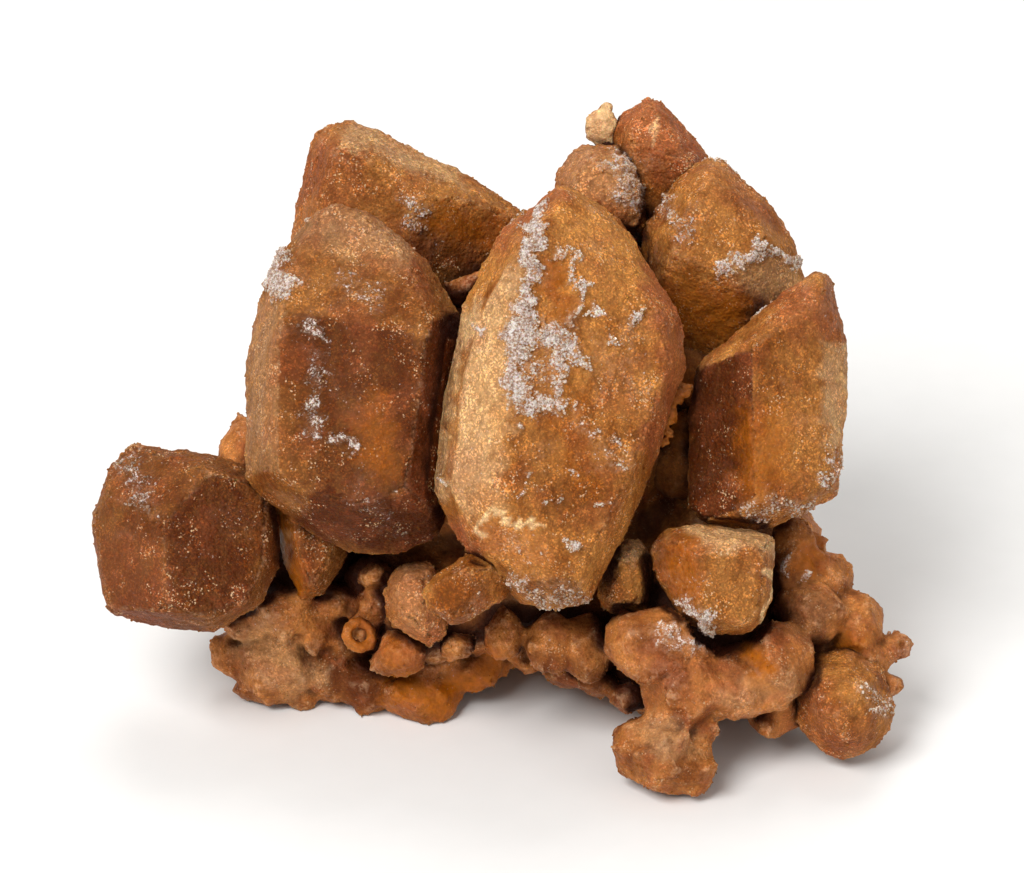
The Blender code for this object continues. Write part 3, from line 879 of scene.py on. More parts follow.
@dataclass(frozen=True)
class MineralFinish:
    """Cloudy honey-brown mineral with a sugary skin, in patches under white powder."""

    name: str
    dark: Colour = screen(132, 70, 16)
    light: Colour = screen(196, 130, 62)
    tones: tuple = (
        (Tone.RUST, screen(164, 88, 50)),
        # The deep tone, also the colour of painted shade.
        (Tone.DEEP, screen(86, 36, 3)),
        (Tone.AMBER, screen(172, 94, 14)),
        # The pale tone, also the colour of painted light.
        (Tone.PALE, screen(230, 186, 132)),
    )
    # Cream of the sugary skin, also used for painted glints and painted highlights on ridges.
    sugar: Colour = screen(230, 192, 150)
    powder_low: Colour = screen(150, 110, 86)
    powder_high: Colour = screen(244, 232, 222)
    # Colour of the painted shade laid in cavities and creases.
    hollow: Colour = screen(48, 14, 4)
    film: Colour = screen(182, 144, 116)
    film_share: float = 0.3
    patch_scale: float = 0.22
    rust_share: float = 0.24
    # How much painted sparkle there is, and how strong the grain and its painted glints are.
    sparkle: float = 0.75
    grit: float = 0.85
    shade_from: float = 0.32
    glow: float = 0.36
    glow_depth: float = 0.0009
    roughness: float = 0.54
    relief: float = 0.00016

    def material(self) -> bpy.types.Material:
        """The finish as a node material.

        Returns:
            The material.
        """
        material = bpy.data.materials.new(self.name)
        material.use_nodes = True
        graph = Graph(material.node_tree)
        shader = material.node_tree.nodes["Principled BSDF"]
        place = graph.scaled(graph.node("ShaderNodeTexCoord", out="Object"), 1.0 / MM)
        fine = graph.noise(place, 8.0, 3.0, 0.7)
        middling = graph.noise(place, 3.0, 4.0, 0.68)
        resin = self._tone(graph, Tone.AMBER)
        colour, cover = self._coated(graph, place, fine, middling)
        rough = self.roughness + 0.3 * cover + 0.3 * (fine - 0.5) - 0.2 * resin
        relief = (middling * 0.8 + fine * 0.7 - graph.cells(place, 5.0) * 0.5) * (1.0 - 0.7 * resin)
        bump = graph.node("ShaderNodeBump", Strength=0.9, Distance=self.relief, Height=relief)
        for key, link in (("Base Color", colour), ("Roughness", rough), ("Normal", bump)):
            material.node_tree.links.new(link.socket, shader.inputs[key])
        shader.inputs["Subsurface Weight"].default_value = self.glow
        shader.inputs["Subsurface Radius"].default_value = (1.0, 0.4, 0.14)
        shader.inputs["Subsurface Scale"].default_value = self.glow_depth
        shader.inputs["Specular IOR Level"].default_value = 0.14
        return material

    @staticmethod
    def _tone(graph: Graph, tone: Tone | str) -> Link:
        """A tone's amount, or another stored number, on the surface."""
        name = tone.value if isinstance(tone, Tone) else tone
        return graph.node("ShaderNodeAttribute", {"attribute_name": name}, out="Fac")

    def _stone(self, graph: Graph, place: Link, fine: Link, middling: Link) -> Link:
        """The mineral's colour with its marks, without what lies on it; the pale and deep marks carry painted
        light and painted shade too.

        Args:
            graph: The material's graph.
            place: The point in millimetres.
            fine: Fine noise, not used.
            middling: Coarser noise.

        Returns:
            The colour.
        """
        broad = graph.noise(place, self.patch_scale, 3.0, 0.5)
        veined = graph.noise(graph.vector("MULTIPLY", place, (1.0, 1.0, 0.35)), 0.9, 5.0, 0.62)
        share = graph.smooth(broad * 0.5 + veined * 0.5, 0.36, 0.64)
        colour = graph.mix(share, self.dark, self.light)
        ragged = 0.45 + 1.1 * middling
        for tone, paint_colour in self.tones:
            amount = graph.math("MULTIPLY", self._tone(graph, tone), ragged, clamp=True)
            colour = graph.mix(amount, colour, paint_colour)
        rusty = graph.smooth(graph.noise(place, self.patch_scale * 2.3, 3.0), 0.5, 0.64)
        colour = graph.mix(self.rust_share * rusty, colour, self.tones[0][1])
        return graph.mix(1.0, colour, 0.36 + 1.28 * middling, "MULTIPLY")

    def _coated(self, graph: Graph, place: Link, fine: Link, middling: Link) -> tuple[Link, Link]:
        """The colour with sugar grains and painted glints, film, powder and painted shade in cavities and
        creases.

        Args:
            graph: The material's graph.
            place: The point in millimetres.
            fine: Fine noise.
            middling: Coarser noise.

        Returns:
            The colour, and how much powder there is.
        """
        colour = self._stone(graph, place, fine, middling)
        bare = 1.0 - self._tone(graph, Tone.AMBER)
        edge = self._tone(graph, "edge")
        # Painted highlight along ridges, standing partly for the sugary frosting there.
        on_ridge = graph.smooth(edge, 0.03, 0.2) * graph.smooth(middling, 0.42, 0.62)
        colour = graph.mix(0.28 * on_ridge * bare, colour, self.sugar)
        # Grain of the sugary skin, with painted glints in its brightest cells.
        facets = graph.node("ShaderNodeSeparateColor", out="Red", Color=graph.cells(place, 12.5, "Color"))
        strewn = graph.smooth(graph.noise(place, 0.8, 4.0, 0.7), 0.4, 0.68)
        glints = bare * (0.5 + strewn) * graph.smooth(facets, 0.5, 1.0)
        grain_and_glints = 1.0 - 0.2 * self.grit + self.grit * glints
        colour = graph.mix(1.0, colour, grain_and_glints, "MULTIPLY")
        # Painted sparkle: scattered cells take the cream colour as glints.
        facets = graph.node("ShaderNodeSeparateColor", out="Green", Color=graph.cells(place, 14.0, "Color"))
        crystals = graph.smooth(facets + 0.24 * strewn, 1.06, 1.16) * self.sparkle * bare
        colour = graph.mix(crystals, colour, self.sugar)
        clouds = graph.smooth(graph.noise(place, 0.38, 4.0, 0.6), 0.52, 0.7)
        laid = self._tone(graph, Tone.POWDER)
        film = self.film_share * clouds + 0.55 * graph.smooth(laid, 0.1, 0.7)
        film = film * graph.smooth(middling * 0.6 + fine * 0.4, 0.4, 0.6)
        clear = graph.math("MAXIMUM", self._tone(graph, Tone.DEEP), self._tone(graph, Tone.AMBER))
        film = film * (1.0 - 0.75 * clear)
        colour = graph.mix(graph.math("MINIMUM", film, 0.8), colour, self.film)
        torn = graph.noise(place, 1.9, 6.0, 0.75)
        thick = graph.smooth(laid + 2.2 * (torn - 0.5) + 0.9 * (fine - 0.5), 0.52, 0.86)
        crumbs = graph.smooth(graph.noise(place, 5.5, 2.0, 0.6), 0.68, 0.73)
        specks = crumbs * graph.smooth(clouds + middling + laid, 0.4, 0.9)
        cover = graph.math("MAXIMUM", thick * 0.92, specks * 0.8)
        powder = graph.mix(graph.smooth(fine * 0.55 + torn * 0.45, 0.42, 0.6), self.powder_low, self.powder_high)
        colour = graph.mix(cover, colour, powder)
        # Painted shade: creases, and cavities that the specimen's own bulk closes in, are darkened toward the
        # shade colour, less under pale and amber marks.
        dip = graph.smooth(0.0 - edge, 0.03, 0.22)
        deep = graph.smooth(self._tone(graph, "cavity"), self.shade_from, self.shade_from + 0.42)
        lit = graph.math("MAXIMUM", self._tone(graph, Tone.PALE), 0.8 * self._tone(graph, Tone.AMBER))
        dark = graph.math("MAXIMUM", 0.7 * dip, 0.96 * deep) * (1.0 - lit)
        return graph.mix(dark, colour, self.hollow), cover


@dataclass(frozen=True)
class FloorFinish:
    """Plain pale card."""

    name: str = "pale card"
    colour: Colour = screen(240, 239, 237)

    def material(self) -> bpy.types.Material:
        """The finish as a node material.

        Returns:
            The material.
        """
        material = bpy.data.materials.new(self.name)
        material.use_nodes = True
        graph = Graph(material.node_tree)
        shader = material.node_tree.nodes["Principled BSDF"]
        place = graph.scaled(graph.node("ShaderNodeTexCoord", out="Object"), 1.0 / MM)
        tooth = graph.mix(graph.noise(place, 0.5, 3.0), self.colour, screen(236, 235, 233))
        material.node_tree.links.new(tooth.socket, shader.inputs["Base Color"])
        shader.inputs["Roughness"].default_value = 0.9
        shader.inputs["Specular IOR Level"].default_value = 0.1
        return material


@dataclass(frozen=True)
class Crystal:
    """A convex crystal: its outline is (across, up) corners, counter-clockwise, at the depth out.

    Each facet is (across, up, out from the middle, turn, lean). Turn is the way it faces in the
    view's plane, from the right, and lean is how far it turns from the eye: 0 faces the eye, 90
    is edge-on and 180 faces away.
    """

    out: float
    outline: tuple
    facets: tuple
    front_lean: float = 68.0
    back_lean: float = 115.0
    back_depth: float = 4.5
    marks: tuple = ()
    voxel: float = 0.14
    skin: Skin = Skin()

    def middle(self) -> tuple[float, float]:
        """The mean of its corners, across and up."""
        count = len(self.outline)
        across = sum(corner[0] for corner in self.outline) / count
        up = sum(corner[1] for corner in self.outline) / count
        return across, up

    def planes(self) -> Planes:
        """The planes, each a point and the direction it faces, that bound it."""
        planes = []
        for index, (across, up) in enumerate(self.outline):
            next_across, next_up = self.outline[(index + 1) % len(self.outline)]
            turn = math.degrees(math.atan2(across - next_across, next_up - up))
            corner = in_place(across, up, self.out)
            planes.append((corner, facing(turn, self.front_lean)))
            planes.append((corner, facing(turn, self.back_lean)))
        for across, up, out, turn, lean in self.facets:
            planes.append((in_place(across, up, self.out + out), facing(turn, lean)))
        back = in_place(*self.middle(), self.out - self.back_depth)
        planes.append((back, facing(0.0, 180.0)))
        return planes

    def build(self, name: str, material: bpy.types.Material) -> bpy.types.Object:
        """Makes the crystal.

        Args:
            name: The crystal's name.
            material: Its material.

        Returns:
            The crystal, in millimetres.
        """
        middle = in_place(*self.middle(), self.out)
        body = voxel_skinned("body", new_mesh("body", [(self.planes(), middle)]), self.voxel)
        paint(body.data, self.marks)
        return applied(body, f"{name}_crystal", self.skin, material)


POWDER, PALE, RUST, DEEP, AMBER = Tone.POWDER, Tone.PALE, Tone.RUST, Tone.DEEP, Tone.AMBER

# Specks of powder that stand alone low on the front crystal, as (across, up)
FRONT_SPECKS = (
    (0.25, 0.55), (3.0, 1.3), (4.0, -0.2), (5.05, 0.0), (5.55, -0.25), (5.3, -1.55), (3.0, -2.0),
    (1.05, -1.9), (1.0, -2.6), (0.4, -3.1), (1.8, -3.15), (2.35, -3.0), (4.3, -3.2), (-3.5, -2.0),
)

# Deep marks darken thicker clear mineral and are also painted shade in gaps, at crystal feet and on facets
# turned from the lamps; pale marks lighten pale stone and are also painted light on facets turned to the lamps.
CRYSTALS = {
    "front": Crystal(
        out=5.0,
        outline=(
            (2.25, -8.8), (4.0, -8.2), (5.7, -4.7), (7.25, -1.0), (8.75, 3.5),
            (8.35, 6.2), (6.1, 9.9), (4.6, 11.6), (2.4, 12.8), (-0.7, 10.2),
            (-2.45, 6.6), (-3.5, 2.0), (-3.95, -2.7), (-2.45, -5.7), (0.4, -8.3),
        ),
        facets=(
            (0.2, 4.6, 4.6, 172, 38), (0.2, 4.6, 4.6, -10, 14), (6.4, 6.8, 3.2, 45, 45),
            (0.6, -4.4, 4.1, 236, 33), (-1.6, -4.6, 3.1, 205, 52), (2.0, -7.3, 3.0, 265, 60),
            (4.6, -5.0, 3.2, -35, 42), (2.5, 2.0, -4.5, 150, 160), (2.5, 2.0, -4.5, -30, 155),
        ),
        front_lean=72.0,
        back_lean=118.0,
        marks=(
            Mark(POWDER, ((1.45, 11.2), (0.95, 9.8), (1.05, 8.2), (0.75, 7.0)), 0.36),
            Mark(POWDER, ((0.75, 7.0), (0.4, 5.6), (0.2, 4.1), (0.0, 2.2)), 0.5),
            Mark(POWDER, ((0.4, 5.4), (2.3, 4.8), (3.2, 3.9)), 0.62, 0.85),
            Mark(POWDER, ((2.4, 4.4), (2.2, 1.8), (1.1, 1.2), (0.3, 2.6)), 0.5, 0.72),
            Mark(POWDER, ((1.3, 3.4),), 1.2, 0.5),
            Mark(POWDER, ((2.2, 9.2), (3.1, 8.9), (3.0, 8.0), (3.65, 7.4), (2.9, 5.9)), 0.26, 0.7),
            Mark(POWDER, ((4.3, 6.1),), 0.34, 0.85),
            Mark(POWDER, ((5.8, 5.9), (6.3, 5.9)), 0.26, 0.75),
            Mark(POWDER, ((5.15, 4.65),), 0.22, 0.85),
            Mark(POWDER, ((3.1, 1.1), (4.1, -0.2), (5.4, -1.6)), 0.5, 0.36),
            Mark(POWDER, ((2.9, -5.2),), 0.32, 0.95),
            Mark(POWDER, ((0.4, -7.3), (1.4, -8.1), (3.8, -8.1)), 0.6, 0.5),
            Mark(AMBER, ((-0.9, -4.9), (0.2, -5.7), (1.9, -5.6)), 1.0, 0.3, facet=(236, 33)),
            Mark(POWDER, ((-0.9, -4.9), (0.2, -5.7), (1.9, -5.6)), 1.0, 0.3, facet=(236, 33)),
            Mark(PALE, ((-1.6, -5.0), (-0.95, -3.6), (1.2, -4.75)), 0.18, 1.0),
            Mark(POWDER, ((-1.73, 5.5),), 0.24, 0.9),
            Mark(PALE, ((-1.9, 6.2), (-2.7, 4.3)), 0.55, 0.7),
            # Painted light along the left edge and on the left face, which turns to the key lamp.
            Mark(PALE, ((-2.6, 6.2), (-3.4, 2.0), (-3.8, -2.6)), 0.5, 0.45),
            Mark(PALE, ((-1.2, 8.0), (-2.0, 1.0), (-2.6, -2.6)), 1.6, 0.56, facet=(172, 38)),
            # Painted shade on the underside facet.
            Mark(DEEP, ((0.2, -7.2), (3.9, -7.8)), 0.8, 0.5, facet=(265, 60)),
            Mark(RUST, ((-0.8, 10.4), (1.4, 12.4)), 1.1, 0.7),
            Mark(RUST, ((7.4, 8.2), (8.6, 3.6), (7.4, -0.4)), 0.9, 0.7),
            Mark(AMBER, ((2.0, 8.6), (2.4, 6.4)), 0.6, 0.7),
            Mark(RUST, ((-2.9, -4.6), (-1.6, -6.8)), 0.6, 0.7),
            Mark(DEEP, ((2.2, 8.0), (2.1, 7.2)), 0.32, 0.7),
            Mark(DEEP, ((1.2, -0.6), (2.4, -3.0)), 1.2, 0.16),
            Mark(PALE, ((-0.4, 1.6), (-0.7, -0.8), (-1.0, -3.2)), 0.5, 0.3),
            Mark(AMBER, ((2.6, 2.4), (3.4, -1.6)), 1.0, 0.3),
            *(Mark(POWDER, (spot,), 0.17, 0.85) for spot in FRONT_SPECKS),
        ),
        voxel=0.13,
    ),
    "left": Crystal(
        out=2.5,
        outline=(
            (-5.6, -6.0), (-3.6, -5.0), (-2.5, -2.5), (-2.2, 4.5), (-2.6, 6.3),
            (-4.3, 8.95), (-5.95, 10.4), (-7.15, 11.3), (-8.8, 11.75), (-9.8, 11.3),
            (-11.75, 9.1), (-12.6, 6.9), (-13.35, 3.6), (-13.4, -2.1), (-12.5, -3.0),
            (-10.2, -4.8), (-8.0, -5.9),
        ),
        facets=(
            (-8.0, 2.0, 4.0, 180, 5), (-4.6, 2.5, 4.3, -8, 55), (-11.7, 3.5, 3.7, 180, 52),
            (-8.5, 5.6, 4.0, 88, 30), (-9.8, -3.2, 3.5, 250, 50), (-6.5, -3.2, 3.9, 285, 55),
            (-8.0, 3.0, -5.0, 120, 158), (-8.0, 3.0, -5.0, -60, 155),
        ),
        marks=(
            Mark(DEEP, ((-8.0, 9.0), (-8.0, -4.0)), 8.0, 0.44),
            Mark(DEEP, ((-7.8, 5.0), (-7.4, 0.0), (-7.2, -3.0)), 4.4, 0.84, facet=(180, 5)),
            # Painted shade at the foot and on the facet that faces the front crystal across the gap.
            Mark(DEEP, ((-9.2, -3.9), (-5.2, -4.4)), 2.0, 1.0),
            Mark(DEEP, ((-4.0, 6.4), (-3.6, -3.4)), 2.4, 1.0, facet=(-8, 55)),
            Mark(AMBER, ((-6.9, 1.2), (-6.6, -1.2)), 0.9, 0.5),
            Mark(DEEP, ((-6.5, -3.6), (-5.0, -4.6)), 1.6, 0.75),
            Mark(PALE, ((-9.6, 10.5), (-6.0, 9.6)), 1.1, 0.25),
            # Painted light on the left side facet, turned to the key lamp.
            Mark(PALE, ((-12.3, 6.0), (-12.7, -1.0)), 1.2, 0.18, facet=(180, 52)),
            Mark(RUST, ((-8.6, 11.3), (-4.6, 8.8)), 1.0, 0.35),
            Mark(POWDER, ((-12.1, 9.3), (-11.5, 7.4)), 0.7, 0.95),
            Mark(POWDER, ((-8.3, 7.9), (-6.7, 6.9)), 0.8, 0.4),
            Mark(POWDER, ((-10.1, 5.5), (-9.5, 5.2)), 0.4, 0.7),
            Mark(POWDER, ((-9.6, 3.9), (-10.1, 0.2)), 0.55, 0.5),
            Mark(POWDER, ((-8.8, 0.0), (-7.8, -0.7)), 0.3, 0.7),
            Mark(POWDER, ((-7.7, -2.8), (-5.8, -4.7)), 0.7, 0.38),
        ),
        voxel=0.14,
    ),
    "back_left": Crystal(
        out=-4.5,
        outline=(
            (0.5, 4.0), (1.3, 9.8), (1.0, 10.9), (-1.6, 12.8), (-6.3, 15.2),
            (-8.35, 15.85), (-8.9, 15.8), (-9.7, 15.3), (-10.1, 14.6), (-10.85, 11.6),
            (-11.0, 9.5), (-9.5, 5.5), (-5.0, 3.0),
        ),
        facets=(
            (-5.0, 11.0, 3.6, 200, 12), (-4.6, 11.0, 3.6, -35, 32), (-6.0, 13.4, 3.2, 63, 48),
            (-5.0, 9.5, -4.2, 215, 158), (-5.0, 9.5, -4.2, 35, 150),
        ),
        front_lean=66.0,
        marks=(
            Mark(DEEP, ((-5.0, 10.0),), 9.0, 0.26),
            Mark(RUST, ((-9.4, 13.6), (-9.8, 11.0)), 1.8, 0.4),
            Mark(PALE, ((-8.0, 15.2), (-3.0, 13.2)), 0.6, 0.4),
            Mark(POWDER, ((-5.0, 11.5), (-4.6, 10.4)), 0.7, 0.5),
            # Painted shade low beside the front crystal.
            Mark(DEEP, ((-3.8, 9.6), (-1.2, 9.0)), 1.9, 0.75),
            Mark(AMBER, ((-3.6, 10.8), (-0.6, 10.0)), 0.8, 0.6),
        ),
        voxel=0.15,
    ),
    "upper_right": Crystal(
        out=-1.5,
        outline=(
            (9.5, 3.0), (13.8, 3.5), (14.9, 7.0), (14.15, 9.7), (12.95, 11.6),
            (11.05, 13.35), (10.05, 13.9), (9.0, 13.6), (8.0, 12.8), (6.5, 10.2),
            (6.0, 6.0), (7.0, 3.5),
        ),
        facets=(
            (10.3, 9.5, 3.6, 60, 18), (9.5, 8.0, 3.6, 250, 42), (12.6, 8.6, 2.8, -20, 38),
            (10.5, 8.5, -4.8, 150, 150), (10.5, 8.5, -4.8, 0, 150),
        ),
        back_depth=5.5,
        marks=(
            Mark(POWDER, ((10.5, 8.1), (12.1, 9.4), (14.0, 8.8)), 0.4, 0.7),
            Mark(POWDER, ((7.4, 11.9), (8.6, 10.2)), 0.6, 0.5),
            Mark(AMBER, ((8.2, 6.6), (10.2, 5.8)), 1.5, 0.6),
            Mark(DEEP, ((7.6, 5.2), (9.2, 4.6)), 1.2, 0.1),
            Mark(PALE, ((11.6, 8.2), (13.9, 7.6)), 0.8, 0.3),
            Mark(DEEP, ((9.5, 10.5), (12.5, 8.5)), 3.4, 0.16),
            Mark(RUST, ((10.0, 13.2), (12.8, 11.0)), 0.8, 0.3),
        ),
    ),
    "right": Crystal(
        out=3.0,
        outline=(
            (13.25, -4.6), (15.0, -3.7), (16.3, -2.9), (16.8, 1.6), (16.6, 5.0),
            (16.05, 7.6), (15.6, 8.4), (14.9, 8.2), (13.15, 6.9), (10.6, 4.75),
            (9.3, 3.6), (8.7, 1.0), (8.7, -3.6), (9.6, -4.4), (11.9, -4.7),
        ),
        facets=(
            (12.0, 1.5, 3.5, 0, 18), (12.0, 1.5, 3.5, 182, 48), (15.4, 2.0, 2.4, 0, 55),
            (13.5, 5.6, 3.0, 112, 45), (13.2, -3.2, 3.1, 275, 60), (11.5, -3.2, 3.2, 250, 55),
            (13.0, 1.0, -4.0, 200, 155), (13.0, 1.0, -4.0, 20, 150),
        ),
        front_lean=74.0,
        marks=(
            # Painted shadow on the facet that faces the front crystal.
            Mark(DEEP, ((10.4, 3.6), (10.2, -3.2)), 2.6, 1.0, facet=(182, 48)),
            Mark(DEEP, ((13.4, 3.0), (13.4, -3.0)), 3.0, 0.16),
            Mark(AMBER, ((12.6, 0.4), (12.4, -2.2)), 1.2, 0.6),
            Mark(PALE, ((16.2, 4.2), (16.2, 0.2)), 0.6, 0.5),
            Mark(RUST, ((13.8, 7.1), (16.0, 5.8)), 1.0, 0.5),
            Mark(POWDER, ((16.1, -0.3), (15.8, -2.5)), 0.4, 0.5),
            Mark(POWDER, ((11.8, -3.5), (14.6, -3.6)), 0.7, 0.48),
        ),
        voxel=0.12,
    ),
    "top_rear": Crystal(
        out=-4.0,
        outline=(
            (9.9, 12.4), (9.95, 14.0), (8.75, 15.5), (8.15, 16.3), (7.5, 16.75),
            (6.9, 17.1), (6.3, 16.7), (5.1, 16.0), (4.7, 15.0), (5.0, 11.0), (7.5, 9.5),
        ),
        facets=(
            (7.0, 14.4, 3.0, 72, 32), (7.0, 14.4, 3.0, 252, 22),
            (7.3, 13.5, -3.4, 140, 150), (7.3, 13.5, -3.4, -10, 145),
        ),
        marks=(
            Mark(RUST, ((6.5, 16.0), (8.8, 14.4)), 1.6, 0.7),
            Mark(PALE, ((7.0, 15.3),), 0.3, 0.8),
            Mark(DEEP, ((8.2, 13.4),), 1.0, 0.4),
        ),
    ),
    "top_left_lobe": Crystal(
        out=-3.0,
        outline=(
            (4.4, 9.6), (7.0, 9.8), (7.0, 13.2), (5.6, 14.6), (4.0, 14.75),
            (3.0, 14.3), (2.2, 13.35), (2.0, 12.6), (2.3, 11.0),
        ),
        facets=(
            (4.6, 12.2, 3.0, 120, 14), (5.2, 12.0, 2.9, -40, 30), (4.4, 12.2, -3.0, 170, 150),
        ),
        marks=(
            Mark(RUST, ((3.6, 13.6), (5.4, 11.6)), 1.6, 0.36),
            Mark(PALE, ((3.4, 13.4), (5.6, 12.6)), 1.4, 0.2),
            Mark(POWDER, ((5.2, 13.6), (6.2, 12.0)), 0.9, 0.6),
        ),
    ),
    "left_block": Crystal(
        out=0.0,
        outline=(
            (-14.9, -9.85), (-12.6, -8.6), (-11.6, -6.5), (-11.6, -3.0), (-12.4, -1.7),
            (-14.9, -0.95), (-19.0, -0.25), (-19.35, -0.35), (-20.1, -1.5), (-21.0, -4.2),
            (-20.85, -5.7), (-20.5, -8.2), (-20.2, -8.9), (-18.65, -9.35),
        ),
        facets=(
            (-17.4, -5.5, 4.0, 10, 18), (-17.4, -5.5, 4.0, 182, 40), (-18.2, -4.0, 3.4, 120, 42),
            (-17.0, -5.0, -4.2, 160, 160), (-17.0, -5.0, -4.2, -20, 150),
        ),
        front_lean=76.0,
        back_lean=112.0,
        marks=(
            Mark(POWDER, ((-19.2, -1.2), (-18.4, -3.2)), 0.9, 0.46),
            Mark(DEEP, ((-17.0, -4.5),), 9.0, 0.66),
            # Painted shade on the front facet, turned from the key lamp.
            Mark(DEEP, ((-15.2, -3.6), (-15.2, -7.6)), 3.4, 0.9, facet=(10, 18)),
            Mark(RUST, ((-19.6, -6.0), (-18.6, -8.4)), 1.4, 0.6),
        ),
        voxel=0.15,
    ),
    "brown_wedge": Crystal(
        out=-1.0,
        outline=(
            (-11.0, -8.4), (-9.3, -8.0), (-8.2, -6.2), (-8.0, -3.5), (-10.0, -1.5),
            (-12.7, -2.7), (-12.6, -4.2), (-11.4, -6.6),
        ),
        facets=((-11.4, -4.8, 2.6, 195, 45), (-11.3, -4.8, 2.6, 0, 22)),
        marks=(
            Mark(DEEP, ((-9.8, -4.0), (-9.4, -6.6)), 3.0, 0.6),
            Mark(RUST, ((-12.4, -3.2), (-11.2, -7.4)), 1.0, 0.9),
            Mark(AMBER, ((-12.4, -3.0), (-11.2, -7.8)), 1.0, 1.0),
            Mark(PALE, ((-12.2, -3.2), (-11.5, -6.0)), 0.4, 0.25),
        ),
    ),
    "lower_block": Crystal(
        out=4.0,
        outline=(
            (9.65, -9.9), (11.65, -9.8), (12.35, -9.5), (13.05, -8.1), (13.2, -5.0),
            (11.9, -4.6), (9.2, -4.3), (7.85, -4.6), (6.9, -5.4), (7.0, -6.8), (8.3, -9.0),
        ),
        facets=(
            (9.1, -5.6, 3.2, -20, 14), (9.1, -5.6, 3.2, 188, 55), (9.0, -8.6, 2.8, 222, 50),
            (11.0, -5.5, 2.9, 95, 50),
        ),
        front_lean=74.0,
        marks=(
            Mark(POWDER, ((8.7, -8.1), (10.0, -9.6)), 0.35, 0.85),
            Mark(DEEP, ((10.4, -7.2),), 3.2, 0.24),
            Mark(POWDER, ((8.3, -7.0), (9.2, -8.8)), 0.7, 0.3),
            Mark(PALE, ((9.6, -4.9), (12.8, -5.1)), 0.6, 0.5),
            Mark(PALE, ((13.1, -5.2), (13.05, -8.0), (12.3, -9.4)), 0.16, 0.9),
            Mark(AMBER, ((8.4, -6.0), (8.6, -7.4)), 0.9, 0.8),
            Mark(DEEP, ((7.6, -5.8), (7.8, -7.4)), 0.6, 0.7),
            Mark(RUST, ((7.7, -5.6), (8.2, -7.6)), 0.7, 0.4),
        ),
        voxel=0.12,
    ),
    "near_left_small": Crystal(
        out=5.3,
        outline=(
            (-3.05, -9.55), (-1.85, -9.2), (-0.3, -8.1), (0.3, -7.0), (-0.8, -5.9),
            (-2.3, -5.75), (-3.75, -6.7), (-4.65, -7.8), (-4.15, -8.65),
        ),
        facets=((-2.1, -7.0, 1.9, 190, 30), (-2.0, -7.0, 1.9, -40, 42)),
        marks=(Mark(POWDER, ((-2.6, -6.6), (-1.4, -8.0)), 0.3, 0.32),),
        voxel=0.12,
    ),
    "near_right_small": Crystal(
        out=2.3,
        outline=(
            (4.6, -8.9), (6.85, -8.9), (7.1, -8.2), (7.15, -6.4), (6.9, -5.7),
            (6.4, -5.05), (5.6, -4.9), (4.6, -5.5), (4.1, -8.1),
        ),
        facets=((5.8, -7.0, 1.8, -70, 12), (6.3, -6.8, 1.6, 0, 45), (6.0, -6.0, 1.7, 80, 45)),
        marks=(Mark(PALE, ((5.6, -5.6), (6.6, -5.6)), 0.4, 0.5),),
    ),
    "pink_prism": Crystal(
        out=0.5,
        outline=(
            (-4.05, -10.65), (-3.0, -9.7), (-3.6, -6.6), (-4.1, -6.2), (-5.45, -6.3),
            (-6.45, -7.5), (-6.2, -9.3),
        ),
        facets=((-4.9, -8.2, 1.8, 150, 15), (-4.3, -8.4, 1.8, -25, 40)),
        marks=(
            Mark(RUST, ((-5.0, -7.0), (-4.6, -9.8)), 1.4, 0.6),
            Mark(AMBER, ((-5.2, -7.2), (-4.8, -9.2)), 1.0, 0.24),
            Mark(PALE, ((-5.2, -7.2), (-4.8, -9.0)), 1.0, 0.2),
        ),
    ),
    "right_foot": Crystal(
        out=0.8,
        outline=(
            (16.3, -16.25), (17.4, -16.0), (18.3, -15.45), (18.95, -14.7), (19.1, -13.3),
            (18.6, -11.5), (17.0, -10.5), (14.8, -10.8), (13.8, -12.5), (14.0, -14.3),
            (15.2, -15.6),
        ),
        facets=((16.6, -13.2, 3.0, 120, 20), (17.0, -13.4, 3.0, -45, 35)),
        front_lean=62.0,
        back_depth=3.0,
        marks=(
            Mark(POWDER, ((17.8, -12.8), (18.7, -13.6)), 0.6, 0.5),
            Mark(RUST, ((15.0, -13.4), (16.4, -15.4)), 1.0, 0.4),
        ),
        skin=Skin(swell_height=0.1, ledge_height=0.08, edge_crumble=0.16),
    ),
    "rear_left": Crystal(
        out=-10.0,
        outline=(
            (-5.5, -5.0), (-2.5, -4.2), (-1.2, -1.5), (-1.0, 2.5), (-2.5, 4.6),
            (-5.5, 5.2), (-8.0, 4.4), (-9.2, 1.5), (-9.0, -2.0), (-7.8, -4.2),
        ),
        facets=((-5.2, 0.0, -4.4, 35, 150), (-5.2, 0.0, -4.4, 175, 148), (-5.2, 2.6, -3.9, 95, 128)),
        voxel=0.25,
    ),
    "rear_right": Crystal(
        out=-9.0,
        outline=(
            (5.0, -4.6), (8.6, -3.6), (9.9, -0.5), (9.4, 3.4), (7.0, 5.6),
            (4.0, 5.4), (2.0, 3.6), (1.4, 0.0), (2.4, -3.4),
        ),
        facets=((5.6, 0.4, -4.2, 60, 146), (5.6, 0.4, -4.2, 190, 154), (6.0, -2.0, -3.8, -60, 140)),
        voxel=0.25,
    ),
    "far_right": Crystal(
        out=-5.0,
        outline=(
            (10.5, -5.2), (13.5, -4.9), (15.2, -2.4), (15.4, 1.6), (13.8, 4.0),
            (10.8, 4.4), (8.8, 2.3), (8.5, -2.5),
        ),
        facets=((12.2, -0.5, -4.0, 45, 140), (12.2, -0.5, -4.0, 180, 156), (12.2, -2.6, -3.6, -80, 140)),
        voxel=0.25,
    ),
    "far_left": Crystal(
        out=-6.0,
        outline=(
            (-10.5, -5.0), (-7.5, -4.6), (-6.0, -1.5), (-6.5, 2.8), (-9.0, 4.5),
